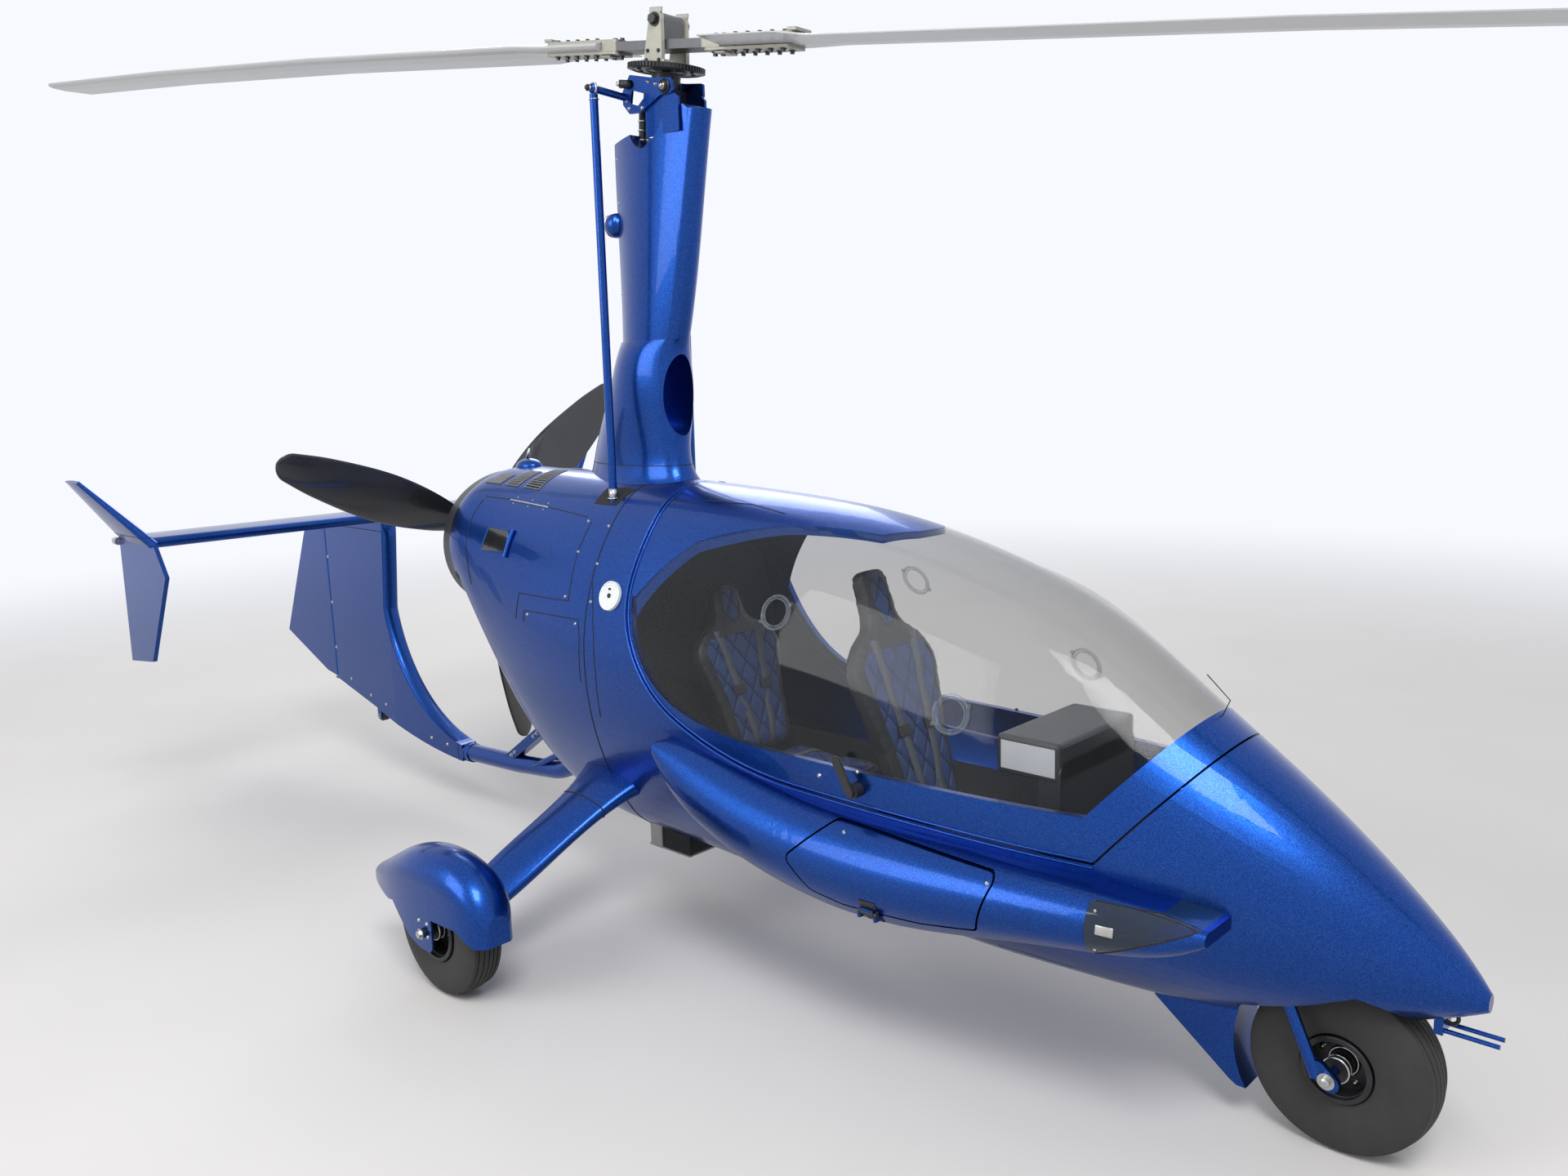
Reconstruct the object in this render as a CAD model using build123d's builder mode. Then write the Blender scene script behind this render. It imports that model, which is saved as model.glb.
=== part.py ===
from build123d import *
import math
import os

# Two-seat enclosed gyrocopter, in millimetres.
# +X is the aircraft's left, +Y is aft and +Z is up.
# The origin is on the ground below the rotor hub.

os.makedirs("parts", exist_ok=True)

# Clearances and walls
SEAT_GAP = 0.3          # between pieces that sit on each other
PANEL_GAP = 5.0         # round panels that open
BODY_WALL = 20.0
COWL_WALL = 6.0
GLASS_WALL = 4.0

# Hull stations from the nose to the cowl's rear opening
# y, half width, top, widest height, bottom, crown share, keel share
HULL = [
    (-2345, 18, 446, 427, 408, 0.90, 0.90),
    (-2270, 70, 536, 445, 374, 0.80, 0.85),
    (-2150, 132, 648, 480, 330, 0.78, 0.80),
    (-2000, 192, 770, 520, 287, 0.76, 0.78),
    (-1800, 252, 912, 570, 250, 0.76, 0.76),
    (-1560, 305, 1083, 630, 232, 0.76, 0.74),
    (-1250, 347, 1232, 690, 221, 0.76, 0.72),
    (-900, 368, 1326, 740, 218, 0.74, 0.70),
    (-450, 376, 1380, 800, 222, 0.72, 0.70),
    (0, 374, 1405, 850, 240, 0.72, 0.70),
    (330, 358, 1414, 920, 270, 0.74, 0.72),
    (600, 336, 1418, 1010, 420, 0.80, 0.80),
    (930, 300, 1412, 1150, 890, 1.12, 1.12),
]
NOSE_STATIONS_SOLID = 1     # stations at the tip with no hollow
ENGINE_BULKHEAD_Y = -30.0   # front face of the wall behind the rear seat
BULKHEAD_THICK = 8.0
COWL_SPLIT_Y = 96.0         # the engine cowl starts here
HULL_REAR_Y = HULL[-1][0]
HULL_SPAN = 1200.0          # wider than the whole body, for cutting tools

# Canopy outline, seen from the side
SILL_FRONT = (-1613.0, 626.0)
SILL_REAR = (-760.0, 647.0)
CANOPY_CORNER = [(1050.0, 24.7), (430.0, 63.9)]     # radius and sweep in degrees, upright at the end
CUT_TOP = 1700.0            # clear above the roof
FRONT_CUT_RISE = (-250.0, 296.0)
GLASS_FRONT = (-1585.0, 730.0)
GLASS_SILL_REAR = (-660.0, 736.0)
GLASS_CORNER = [(1100.0, 15.8), (357.0, 74.2), (250.0, 60.0)]
TONGUE = [(-960.0, 60.0), (-890.0, 122.0), (-600.0, 165.0), (-300.0, 235.0), (-120.0, 330.0)]

# Canopy hinge line on the left side
HINGE_X, HINGE_Z = 386.0, 700.0
HINGE_STATIONS = (-1250.0, -560.0)
HINGE_PIN_RADIUS = 6.0
KNUCKLE_RADIUS, KNUCKLE_HALF, KNUCKLE_REACH = 11.0, 14.0, 52.0

# Side pods: y, outer x, bottom, top
POD = [
    (-1900, 352, 536, 566),
    (-1640, 412, 452, 596),
    (-1350, 446, 402, 606),
    (-1050, 464, 358, 612),
    (-740, 464, 376, 630),
    (-450, 448, 450, 680),
    (-262, 420, 640, 688),
]
POD_WALL = 8.0
LID_OUTLINE = [(-1437, 594), (-941, 609), (-819, 500), (-900, 424), (-1000, 410), (-1240, 424), (-1392, 450)]
LID_HINGE_X, LID_HINGE_Y, LID_HINGE_Z = -452.0, -1090.0, 418.0
LID_PIN_RADIUS, LID_BARREL_RADIUS, LID_BARREL_HALF, LID_EAR = 3.0, 6.0, 20.0, 8.0
LENS_REAR_Y = -1655.0

# Engine, rear ring and propeller
RING_DEPTH = 52.0
RING_WALL = 26.0
ENGINE_SIZE = (400.0, 440.0, 320.0)
ENGINE_CENTRE = (0.0, 410.0, 1030.0)
GEARBOX_LENGTH = 180.0
GEARBOX_REAR_Y = ENGINE_CENTRE[1] + ENGINE_SIZE[1] / 2 + GEARBOX_LENGTH
PROP_Y, PROP_Z = 1158.0, 1166.0
PROP_RADIUS = 850.0
PROP_HUB_RADIUS = 62.0
PROP_HUB_LENGTH = 84.0
PROP_BLADE_ANGLES = (68.2, 188.2, 308.2)
# radius share, chord, thickness, pitch
PROP_STATIONS = [
    (0.09, 62, 40, 52),
    (0.24, 150, 30, 40),
    (0.50, 196, 20, 28),
    (0.80, 150, 13, 20),
    (1.00, 52, 6, 17),
]
PROP_SHAFT_RADIUS = 34.0

# Mast: height, front y, rear y, half thickness
MAST = [
    (1840, -18, 262, 64),
    (2070, -76, 256, 64),
    (2280, -118, 256, 62),
    (2530, -170, 250, 59),
]
MAST_TAIL_HALF = 14.0
# Scoop round the mast's foot
SCOOP = [
    (1372, -74, 500, 122),
    (1440, -6, 452, 84),
    (1530, 4, 418, 86),
    (1660, -6, 352, 100),
    (1770, -2, 300, 96),
    (1840, -16, 270, 72),
]
MOUTH_CENTRE_Z, MOUTH_HALF_WIDTH, MOUTH_HALF_HEIGHT = 1668.0, 64.0, 126.0
MOUTH_DEPTH = 130.0

# Rotor: the head leans forward with the stick
ROTOR_HUB_Z = 2699.0
ROTOR_TILT = 8.4
ROTOR_AZIMUTH = 4.5         # blades swung toward the right side aft
ROTOR_RADIUS = 4200.0
BLADE_CHORD, BLADE_THICK, BLADE_ROOT = 205.0, 26.0, 640.0
BLADE_DROOP = 66.0          # of the tip, standing still
BLADE_PITCH = 5.0           # beyond the straps, leading edge up
RING_GEAR_RADIUS, RING_GEAR_THICK, RING_GEAR_DROP = 117.0, 14.0, 56.0
GEAR_TEETH, TOOTH_DEPTH, TOOTH_GAP = 64, 5.0, 5.5
HUB_BAR_HALF, HUB_BAR_WIDTH, HUB_BAR_THICK = 244.0, 80.0, 26.0
STRAP_THICK = 8.0
STRAP_START, STRAP_END = 175.0, 505.0
TEETER_RISE = 66.0          # of the teeter bolt above the hub bar
TEETER_BOLT_RADIUS, TEETER_EYE = 10.0, 22.0
TOWER_HALF_GAP = 46.0
SPINDLE_RADIUS = 14.0
TOWER_PLATE = 14.0
TOWER_TOP, TOWER_ROUND = 92.0, 25.0

# Landing gear
WHEEL_TRACK_HALF = 896.0
AXLE_Y, MAIN_WHEEL_RADIUS, MAIN_TYRE_WIDTH = 102.0, 200.0, 112.0
RIM_RADIUS = 92.0
RIM_WALL, WEB_HALF = 9.0, 5.0
SHOULDER_RISE, TREAD_SHARE = 0.56, 0.6     # shares of the tyre's height and half width
AXLE_RADIUS = 14.0
RUNNING_GAP = 0.4
NOSE_AXLE_Y, NOSE_WHEEL_RADIUS, NOSE_TYRE_WIDTH = -2070.0, 200.0, 122.0
NOSE_RIM_RADIUS = 74.0
STEER_TOP = (0.0, -1937.0, 446.0)
STEER_RAKE = 23.7
FORK_X = 104.0
FORK_TUBE_RADIUS = 14.0

# Leg stations from the hull to the axle: x, front y and z, rear y and z, thickness
LEG = [
    (170, -60, 474, 292, 556, 112),
    (300, -14, 446, 222, 480, 74),
    (550, 34, 318, 184, 368, 58),
    (808, 40, 208, 160, 248, 46),
]
# Spat stations: y, half width, top; all reach down to one level before the lower edge is cut
SPAT = [
    (-150, 34, 292),
    (-126, 58, 345),
    (-60, 77, 402),
    (40, 84, 430),
    (150, 84, 428),
    (270, 74, 392),
    (390, 48, 330),
    (500, 9, 262),
]
SPAT_LOW = 130.0
SPAT_WALL = 5.0
SPAT_SIDE = 84.0            # half width at the axle
# Lower edge of the spat from the front, and the tongue on its outer face that holds the axle
SPAT_EDGE = [(-220, 208), (-115, 208), (-50, 248), (260, 248), (330, 232), (560, 236)]
SPAT_TONGUE = [(62, 260), (62, 162), (76, 147), (128, 147), (190, 166), (300, 246)]

# Tail
KEEL_RADIUS = 35.0
KEEL_PATH = [(470, 420), (770, 290), (1040, 262), (1386, 244)]
KEEL_BENDS = [260, 500]
FIN_SPIGOT = 60.0           # length of keel tube inside the fin
FIN_HALF, FIN_TAIL_HALF = 34.0, 15.0
HINGE_LINE_Y = 2450.0
RUDDER_LOW, RUDDER_HIGH = 412.0, 1120.0
RUDDER_NOSE = 14.0
RUDDER_PIN_RADIUS = 5.0
RUDDER_LUGS = (398.0, 1118.0)       # lower faces of the lugs that hold the pin
LUG_THICK, LUG_HALF = 8.0, 12.0
STAB_HALF_SPAN, STAB_FRONT, STAB_REAR = 950.0, 1884.0, 2240.0
STAB_Z, STAB_THICK = 1180.0, 34.0
TAIL_WALL = 4.0
ROLLER_Y, ROLLER_Z, ROLLER_RADIUS, ROLLER_WIDTH = 2068.0, 284.0, 24.0, 26.0
ROLLER_PIN_RADIUS = 6.0

SIDES = (("right", -1), ("left", 1))


def station_plane(y):
    """Cross-section plane at one station, local x across and local y up."""
    return Plane(origin=(0, y, 0), x_dir=(1, 0, 0), z_dir=(0, -1, 0))


def level_plane(z):
    """Level plane at one height, local x pointing aft."""
    return Plane(origin=(0, 0, z), x_dir=(0, 1, 0), z_dir=(0, 0, 1))


def quarter(width, rise, crown):
    """Tangent point and side mid-point of a crown arc that runs into a side arc."""
    side = (width**2 + rise**2 - 2 * crown * rise) / (2 * (width - crown))
    turn = 1 if side > crown else -1
    angle = math.atan2(turn * (rise - crown), turn * (side - width))
    meet = (width - side + side * math.cos(angle), side * math.sin(angle))
    middle = (width - side + side * math.cos(angle / 2), side * math.sin(angle / 2))
    return meet, middle


def hull_outline(station, inset=0.0):
    """Edges of one closed hull section of six arcs, moved inwards by inset."""
    y, half_width, top, widest, bottom, crown_share, keel_share = station
    wide = half_width - inset
    up, down = top - inset - widest, widest - bottom - inset
    crown = crown_share * half_width - inset
    keel = keel_share * half_width - inset
    (top_x, top_z), (high_x, high_z) = quarter(wide, up, crown)
    (low_x, low_z), (side_x, side_z) = quarter(wide, down, keel)
    with BuildLine(Plane.XY) as outline:
        ThreePointArc((-top_x, widest + top_z), (0, widest + up), (top_x, widest + top_z))
        ThreePointArc((top_x, widest + top_z), (high_x, widest + high_z), (wide, widest))
        ThreePointArc((wide, widest), (side_x, widest - side_z), (low_x, widest - low_z))
        ThreePointArc((low_x, widest - low_z), (0, widest - down), (-low_x, widest - low_z))
        ThreePointArc((-low_x, widest - low_z), (-side_x, widest - side_z), (-wide, widest))
        ThreePointArc((-wide, widest), (-high_x, widest + high_z), (-top_x, widest + top_z))
    return outline.edges()


def hull_loft(inset=0.0, skip=0, past=0.0):
    """Loft of the hull stations, inset by a wall, run past the rear by past."""
    with BuildPart() as body:
        for station in HULL[skip:]:
            y = station[0] + (past if station is HULL[-1] else 0)
            with BuildSketch(station_plane(y)):
                make_face(hull_outline(station, inset))
        loft()
    return body.part


def canopy_prism(front, rear, corner, gap=0.0):
    """Side outline of the canopy or its glass: sloped front, sill and round rear corner."""
    slope = FRONT_CUT_RISE[0] / FRONT_CUT_RISE[1]
    top = (front[0] + (CUT_TOP - front[1]) * slope, CUT_TOP)
    with BuildPart() as prism:
        with BuildSketch(Plane.YZ):
            with BuildLine():
                Line(top, front)
                edge = Line(front, rear)
                for radius, sweep in corner:
                    edge = JernArc(edge @ 1, edge % 1, radius, sweep)
                run = (edge % 1) * ((CUT_TOP - (edge @ 1).Y) / (edge % 1).Y)
                Polyline(edge @ 1, edge @ 1 + run, top)
            make_face()
            if gap:
                offset(amount=-gap)
        extrude(amount=HULL_SPAN, both=True)
    return prism.part


def foil_outline(front, rear, half, tail_half):
    """Edges of a streamlined section between two points on the local x axis."""
    chord = rear - front
    nose, crest, shoulder = front + 0.1 * chord, front + 0.38 * chord, 0.72 * half
    with BuildLine(Plane.XY) as outline:
        ThreePointArc((nose, -shoulder), (front, 0), (nose, shoulder))
        ThreePointArc((nose, shoulder), (crest, half), (rear, tail_half))
        Line((rear, tail_half), (rear, -tail_half))
        ThreePointArc((rear, -tail_half), (crest, -half), (nose, -shoulder))
    return outline.edges()


def blade_outline(chord, thick):
    """Edges of a flat-sided blade section: round nose drawn as short facets, sharp tail."""
    shares = [(-0.3, 0), (-0.28, 0.28), (-0.2, 0.5), (0.1, 0.5), (0.7, 0.06)]     # of chord and thickness
    upper = [(x * chord, z * thick) for x, z in shares]
    with BuildLine(Plane.XY) as outline:
        Polyline(*upper, *[(x, -z) for x, z in reversed(upper[1:])], close=True)
    return outline.edges()


def write(part, name):
    """Label one finished piece and write its STEP file."""
    part.label = name
    export_step(part, f"parts/{name}.step")


def both_sides(part, name):
    """Write a right-hand piece and its mirror image on the left."""
    write(part, f"{name}_right")
    write(mirror(part, about=Plane.YZ, mode=Mode.PRIVATE), f"{name}_left")


# Hull, inner space and the shape the glass is cut from
hull = hull_loft()
hull_clear = hull_loft(-SEAT_GAP)
cabin = hull_loft(BODY_WALL, NOSE_STATIONS_SOLID, past=20)
cowl_inner = hull_loft(COWL_WALL, 7, past=20)
glass_inner = hull_loft(GLASS_WALL, NOSE_STATIONS_SOLID, past=20)
liner = hull_loft(BODY_WALL + SEAT_GAP, NOSE_STATIONS_SOLID, past=20)

canopy_cut = canopy_prism(SILL_FRONT, SILL_REAR, CANOPY_CORNER)
canopy_shape = canopy_prism(SILL_FRONT, SILL_REAR, CANOPY_CORNER, PANEL_GAP)
glass_side = canopy_prism(GLASS_FRONT, GLASS_SILL_REAR, GLASS_CORNER)

# Blue roof tongue between the left and right glass, seen from above
with BuildPart() as tongue:
    with BuildSketch(Plane.XY.offset(1000)):
        with BuildLine():
            right_edge = [(-half, y) for y, half in TONGUE]
            left_edge = [(half, y) for y, half in reversed(TONGUE)]
            ThreePointArc(left_edge[-1], (0, TONGUE[0][0] - 18), right_edge[0])
            Polyline(*right_edge, (-TONGUE[-1][1], 0), (TONGUE[-1][1], 0), *left_edge)
        make_face()
    extrude(amount=800)
with BuildPart() as glass_cut:
    add(glass_side)
    add(tongue.part, mode=Mode.SUBTRACT)

# Nose wheel well, seen from below, with thin walls up to its ceiling
WELL_OUTLINE = [(74, -2240), (120, -2188), (132, -2080), (132, -1858)]
WELL_TOP, WELL_WALL, WELL_CLEAR = 480.0, 5.0, 20.0
CROWN_FRONT_Y, CROWN_REAR_Y = -2020.0, -1880.0
STEERER_RADIUS = 15.0


def well_prism(grow):
    """Wheel well, grown by a wall: round over the tyre and square over the fork's crown."""
    with BuildPart() as prism:
        with BuildSketch():
            with BuildLine():
                Polyline(*WELL_OUTLINE, *[(-x, y) for x, y in reversed(WELL_OUTLINE)], close=True)
            make_face()
            if grow:
                offset(amount=grow)
        extrude(amount=WELL_TOP + grow)
        with BuildSketch(Plane.YZ):
            with Locations((NOSE_AXLE_Y, NOSE_WHEEL_RADIUS)):
                Circle(NOSE_WHEEL_RADIUS + WELL_CLEAR + grow)
            with Locations(((CROWN_FRONT_Y + CROWN_REAR_Y) / 2, WELL_TOP / 2)):
                Rectangle(CROWN_REAR_Y - CROWN_FRONT_Y + 2 * grow, WELL_TOP + 2 * grow)
        extrude(amount=HULL_SPAN, both=True, mode=Mode.INTERSECT)
    return prism.part


steer_axis = Axis(STEER_TOP, (0, math.sin(math.radians(STEER_RAKE)), math.cos(math.radians(STEER_RAKE))))
with BuildPart() as well_walls:
    add(cabin)
    add(well_prism(WELL_WALL), mode=Mode.INTERSECT)

# Fuselage: nose, cockpit tub and the body round the mast's foot
with BuildPart() as fuselage:
    add(hull)
    add(cabin, mode=Mode.SUBTRACT)
    add(canopy_cut, mode=Mode.SUBTRACT)
    split(bisect_by=Plane(origin=(0, COWL_SPLIT_Y, 0), z_dir=(0, -1, 0)), keep=Keep.TOP)
    add(well_walls.part)
    with BuildSketch(Plane(origin=STEER_TOP, z_dir=steer_axis.direction)):
        Circle(STEERER_RADIUS + 9)
    extrude(amount=90)
    add(well_prism(0), mode=Mode.SUBTRACT)
    with BuildSketch(Plane(origin=STEER_TOP, z_dir=steer_axis.direction)):
        Circle(STEERER_RADIUS + RUNNING_GAP)
    extrude(amount=120, mode=Mode.SUBTRACT)
write(fuselage.part, "fuselage")

# Engine cowl behind it, open at the rear
with BuildPart() as engine_cowl:
    add(hull)
    add(cowl_inner, mode=Mode.SUBTRACT)
    split(bisect_by=Plane(origin=(0, COWL_SPLIT_Y, 0), z_dir=(0, 1, 0)), keep=Keep.TOP)
write(engine_cowl.part, "engine_cowl")

# The cowl's wall, a little thicker, to cut pieces that pass through it
with BuildPart() as cowl_shell:
    add(hull_clear)
    add(hull_loft(COWL_WALL + SEAT_GAP, 7, past=20), mode=Mode.SUBTRACT)

# Dark ring that lines the cowl's rear opening
with BuildPart() as cowl_ring:
    with BuildSketch(station_plane(HULL_REAR_Y)):
        make_face(hull_outline(HULL[-1]))
    extrude(amount=-RING_DEPTH, taper=8)
    with BuildSketch(station_plane(HULL_REAR_Y)):
        make_face(hull_outline(HULL[-1], RING_WALL))
    extrude(amount=-RING_DEPTH, taper=8, mode=Mode.SUBTRACT)
write(cowl_ring.part, "cowl_ring")

# Canopy frame, hinged on the left
with BuildPart() as canopy_frame:
    add(hull)
    add(cabin, mode=Mode.SUBTRACT)
    add(canopy_shape, mode=Mode.INTERSECT)
    add(glass_cut.part, mode=Mode.SUBTRACT)
    for y in HINGE_STATIONS:
        with BuildSketch(Plane.XZ.offset(-y)):
            with Locations((HINGE_X, HINGE_Z)):
                Circle(KNUCKLE_RADIUS)
            with Locations((HINGE_X - KNUCKLE_REACH / 2, HINGE_Z + 2)):
                Rectangle(KNUCKLE_REACH, 2 * KNUCKLE_RADIUS - 4)
            with Locations((HINGE_X, HINGE_Z)):
                Circle(HINGE_PIN_RADIUS + RUNNING_GAP, mode=Mode.SUBTRACT)
        extrude(amount=KNUCKLE_HALF, both=True)
write(canopy_frame.part, "canopy_frame")

with BuildPart() as canopy_glass:
    add(hull)
    add(glass_inner, mode=Mode.SUBTRACT)
    add(glass_cut.part, mode=Mode.INTERSECT)
write(canopy_glass.part, "canopy_glass")

# Black latch lever on the right sill
LATCH_Y, LATCH_Z, LATCH_X = -993.0, 690.0, -374.0
with BuildPart() as canopy_latch:
    with BuildSketch(Plane.YZ.offset(LATCH_X + 14)):
        with Locations((LATCH_Y, LATCH_Z)):
            Circle(19)
    extrude(amount=-32)
    with BuildSketch(Plane.YZ.offset(LATCH_X - 18)):
        with Locations((LATCH_Y + 22, LATCH_Z + 36)):
            SlotOverall(110, 24, rotation=60)
    extrude(amount=-9)
    add(hull_clear, mode=Mode.SUBTRACT)
write(canopy_latch.part, "canopy_latch")

# Side pods with their locker lids and clear lenses, right side first
with BuildPart() as pod_body:
    for y, outer, bottom, top in POD:
        middle, depth = (bottom + top) / 2, (top - bottom) / 2
        with BuildSketch(station_plane(y)):
            with BuildLine():
                Line((-outer + 230, top), (-outer + 0.9 * depth, top))
                ThreePointArc((-outer + 0.9 * depth, top), (-outer, middle), (-outer + 0.9 * depth, bottom))
                Polyline((-outer + 0.9 * depth, bottom), (-outer + 230, bottom), (-outer + 230, top))
            make_face()
    loft()

# Hinge arms on the left pod, a pair with a pin at each station
with BuildPart() as canopy_hinges:
    for y in HINGE_STATIONS:
        for side in (-1, 1):
            with BuildSketch(Plane.XZ.offset(-y + side * KNUCKLE_HALF + side * 1)):
                with Locations((HINGE_X, HINGE_Z)):
                    Circle(KNUCKLE_RADIUS)
                with Locations((HINGE_X, HINGE_Z - 55)):
                    Rectangle(2 * KNUCKLE_RADIUS, 110)
            extrude(amount=side * 8)
        with BuildSketch(Plane.XZ.offset(-y)):
            with Locations((HINGE_X, HINGE_Z)):
                Circle(HINGE_PIN_RADIUS)
        extrude(amount=KNUCKLE_HALF + 5, both=True)
    add(hull_clear, mode=Mode.SUBTRACT)
    add(mirror(pod_body.part, about=Plane.YZ, mode=Mode.PRIVATE), mode=Mode.SUBTRACT)
write(canopy_hinges.part, "canopy_hinges")

with BuildPart() as pod_core:
    for y, outer, bottom, top in POD[1:-1]:
        middle, depth = (bottom + top) / 2, (top - bottom) / 2 - POD_WALL
        with BuildSketch(station_plane(y)):
            with BuildLine():
                Line((-outer + 230, middle + depth), (-outer + POD_WALL + 0.9 * depth, middle + depth))
                ThreePointArc(
                    (-outer + POD_WALL + 0.9 * depth, middle + depth),
                    (-outer + POD_WALL, middle),
                    (-outer + POD_WALL + 0.9 * depth, middle - depth),
                )
                Polyline(
                    (-outer + POD_WALL + 0.9 * depth, middle - depth),
                    (-outer + 230, middle - depth),
                    (-outer + 230, middle + depth),
                )
            make_face()
    loft()
with BuildPart() as lid_cut:
    with BuildSketch(Plane.YZ):
        with BuildLine():
            Polyline(*LID_OUTLINE, close=True)
        make_face()
        fillet(vertices(), 22)
    extrude(amount=-HULL_SPAN)
with BuildPart() as lid_shape:
    with BuildSketch(Plane.YZ):
        with BuildLine():
            Polyline(*LID_OUTLINE, close=True)
        make_face()
        fillet(vertices(), 22)
        offset(amount=-PANEL_GAP)
    extrude(amount=-HULL_SPAN)

with BuildPart() as side_pod:
    add(pod_body)
    split(bisect_by=Plane(origin=(0, LENS_REAR_Y, 0), z_dir=(0, 1, 0)), keep=Keep.TOP)
    add(pod_core, mode=Mode.SUBTRACT)
    add(hull_clear, mode=Mode.SUBTRACT)
    add(lid_cut.part, mode=Mode.SUBTRACT)
    for side in (-1, 1):
        with BuildSketch(Plane.XZ.offset(-LID_HINGE_Y + side * (LID_BARREL_HALF + 1))):
            with Locations((LID_HINGE_X, LID_HINGE_Z)):
                Circle(LID_BARREL_RADIUS)
            with Locations((LID_HINGE_X + 7, LID_HINGE_Z - 10)):
                Rectangle(26, 12)
        extrude(amount=side * LID_EAR)
    with BuildSketch(Plane.XZ.offset(-LID_HINGE_Y)):
        with Locations((LID_HINGE_X, LID_HINGE_Z)):
            Circle(LID_PIN_RADIUS)
    extrude(amount=LID_BARREL_HALF + 5, both=True)
both_sides(side_pod.part, "side_pod")

with BuildPart() as pod_lens:
    add(pod_body)
    split(bisect_by=Plane(origin=(0, LENS_REAR_Y - SEAT_GAP, 0), z_dir=(0, -1, 0)), keep=Keep.TOP)
    add(hull_clear, mode=Mode.SUBTRACT)
both_sides(pod_lens.part, "pod_lens")

with BuildPart() as locker_lid:
    add(pod_body)
    add(lid_shape.part, mode=Mode.INTERSECT)
    add(pod_core.part, mode=Mode.SUBTRACT)
    add(hull_clear, mode=Mode.SUBTRACT)
    with BuildSketch(Plane.XZ.offset(-LID_HINGE_Y)):
        with Locations((LID_HINGE_X, LID_HINGE_Z)):
            Circle(LID_BARREL_RADIUS)
        with Locations((LID_HINGE_X + 4, LID_HINGE_Z + 8)):
            Rectangle(20, 8)
        with Locations((LID_HINGE_X, LID_HINGE_Z)):
            Circle(LID_PIN_RADIUS + RUNNING_GAP, mode=Mode.SUBTRACT)
    extrude(amount=LID_BARREL_HALF, both=True)
both_sides(locker_lid.part, "locker_lid")

# Mast fairing and the scoop round its foot
with BuildPart() as mast:
    for z, front, rear, half in MAST:
        with BuildSketch(level_plane(z)):
            make_face(foil_outline(front, rear, half, MAST_TAIL_HALF))
    loft()
    with BuildSketch(Plane.YZ):
        with BuildLine():
            shoulder = Polyline((-400, 2486), (-122, 2500), (-106, 2514), (-36, 2514))
            ThreePointArc(shoulder @ 1, (4, 2446), (66, 2412))
            ThreePointArc((66, 2412), (108, 2426), (134, 2461))
            Polyline((134, 2461), (400, 2440), (400, 2700), (-400, 2700), (-400, 2486))
        make_face()
    extrude(amount=HULL_SPAN, both=True, mode=Mode.SUBTRACT)
write(mast.part, "mast")

with BuildPart() as mast_scoop:
    for z, front, rear, half in SCOOP:
        with BuildSketch(level_plane(z)):
            make_face(foil_outline(front, rear, half, MAST_TAIL_HALF))
    loft()
    with BuildSketch(station_plane(-100)):
        with Locations((0, MOUTH_CENTRE_Z)):
            Ellipse(MOUTH_HALF_WIDTH, MOUTH_HALF_HEIGHT)
    extrude(amount=-(100 + MOUTH_DEPTH), mode=Mode.SUBTRACT)
    add(hull_clear, mode=Mode.SUBTRACT)
write(mast_scoop.part, "mast_scoop")

# Strobe on the mast's rear edge
LAMP_Y, LAMP_Z, LAMP_RADIUS = 268.0, 2210.0, 40.0
with BuildPart() as mast_lamp:
    with BuildSketch(station_plane(LAMP_Y - 30)):
        with Locations((0, LAMP_Z)):
            Circle(LAMP_RADIUS)
    extrude(amount=-60, taper=22)
    add(mast.part, mode=Mode.SUBTRACT)
write(mast_lamp.part, "mast_lamp")

# Engine block, bulkhead and exhaust
with BuildPart() as engine:
    with Locations(ENGINE_CENTRE):
        Box(*ENGINE_SIZE)
    fillet(edges().filter_by(Axis.Y), 30)
    with BuildSketch(station_plane(ENGINE_CENTRE[1] + ENGINE_SIZE[1] / 2)):
        with Locations((0, PROP_Z)):
            Circle(74)
    extrude(amount=-GEARBOX_LENGTH)
    bearer_rear = ENGINE_CENTRE[1] - ENGINE_SIZE[1] / 2 + 20
    bearer_front = ENGINE_BULKHEAD_Y + BULKHEAD_THICK + SEAT_GAP
    for side in (-1, 1):
        with Locations((side * 150, (bearer_front + bearer_rear) / 2, 960)):
            Box(40, bearer_rear - bearer_front, 60)
write(engine.part, "engine")

with BuildPart() as bulkhead:
    add(liner)
    split(bisect_by=Plane(origin=(0, ENGINE_BULKHEAD_Y, 0), z_dir=(0, 1, 0)), keep=Keep.TOP)
    split(bisect_by=Plane(origin=(0, ENGINE_BULKHEAD_Y + BULKHEAD_THICK, 0), z_dir=(0, -1, 0)), keep=Keep.TOP)
write(bulkhead.part, "bulkhead")

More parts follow.
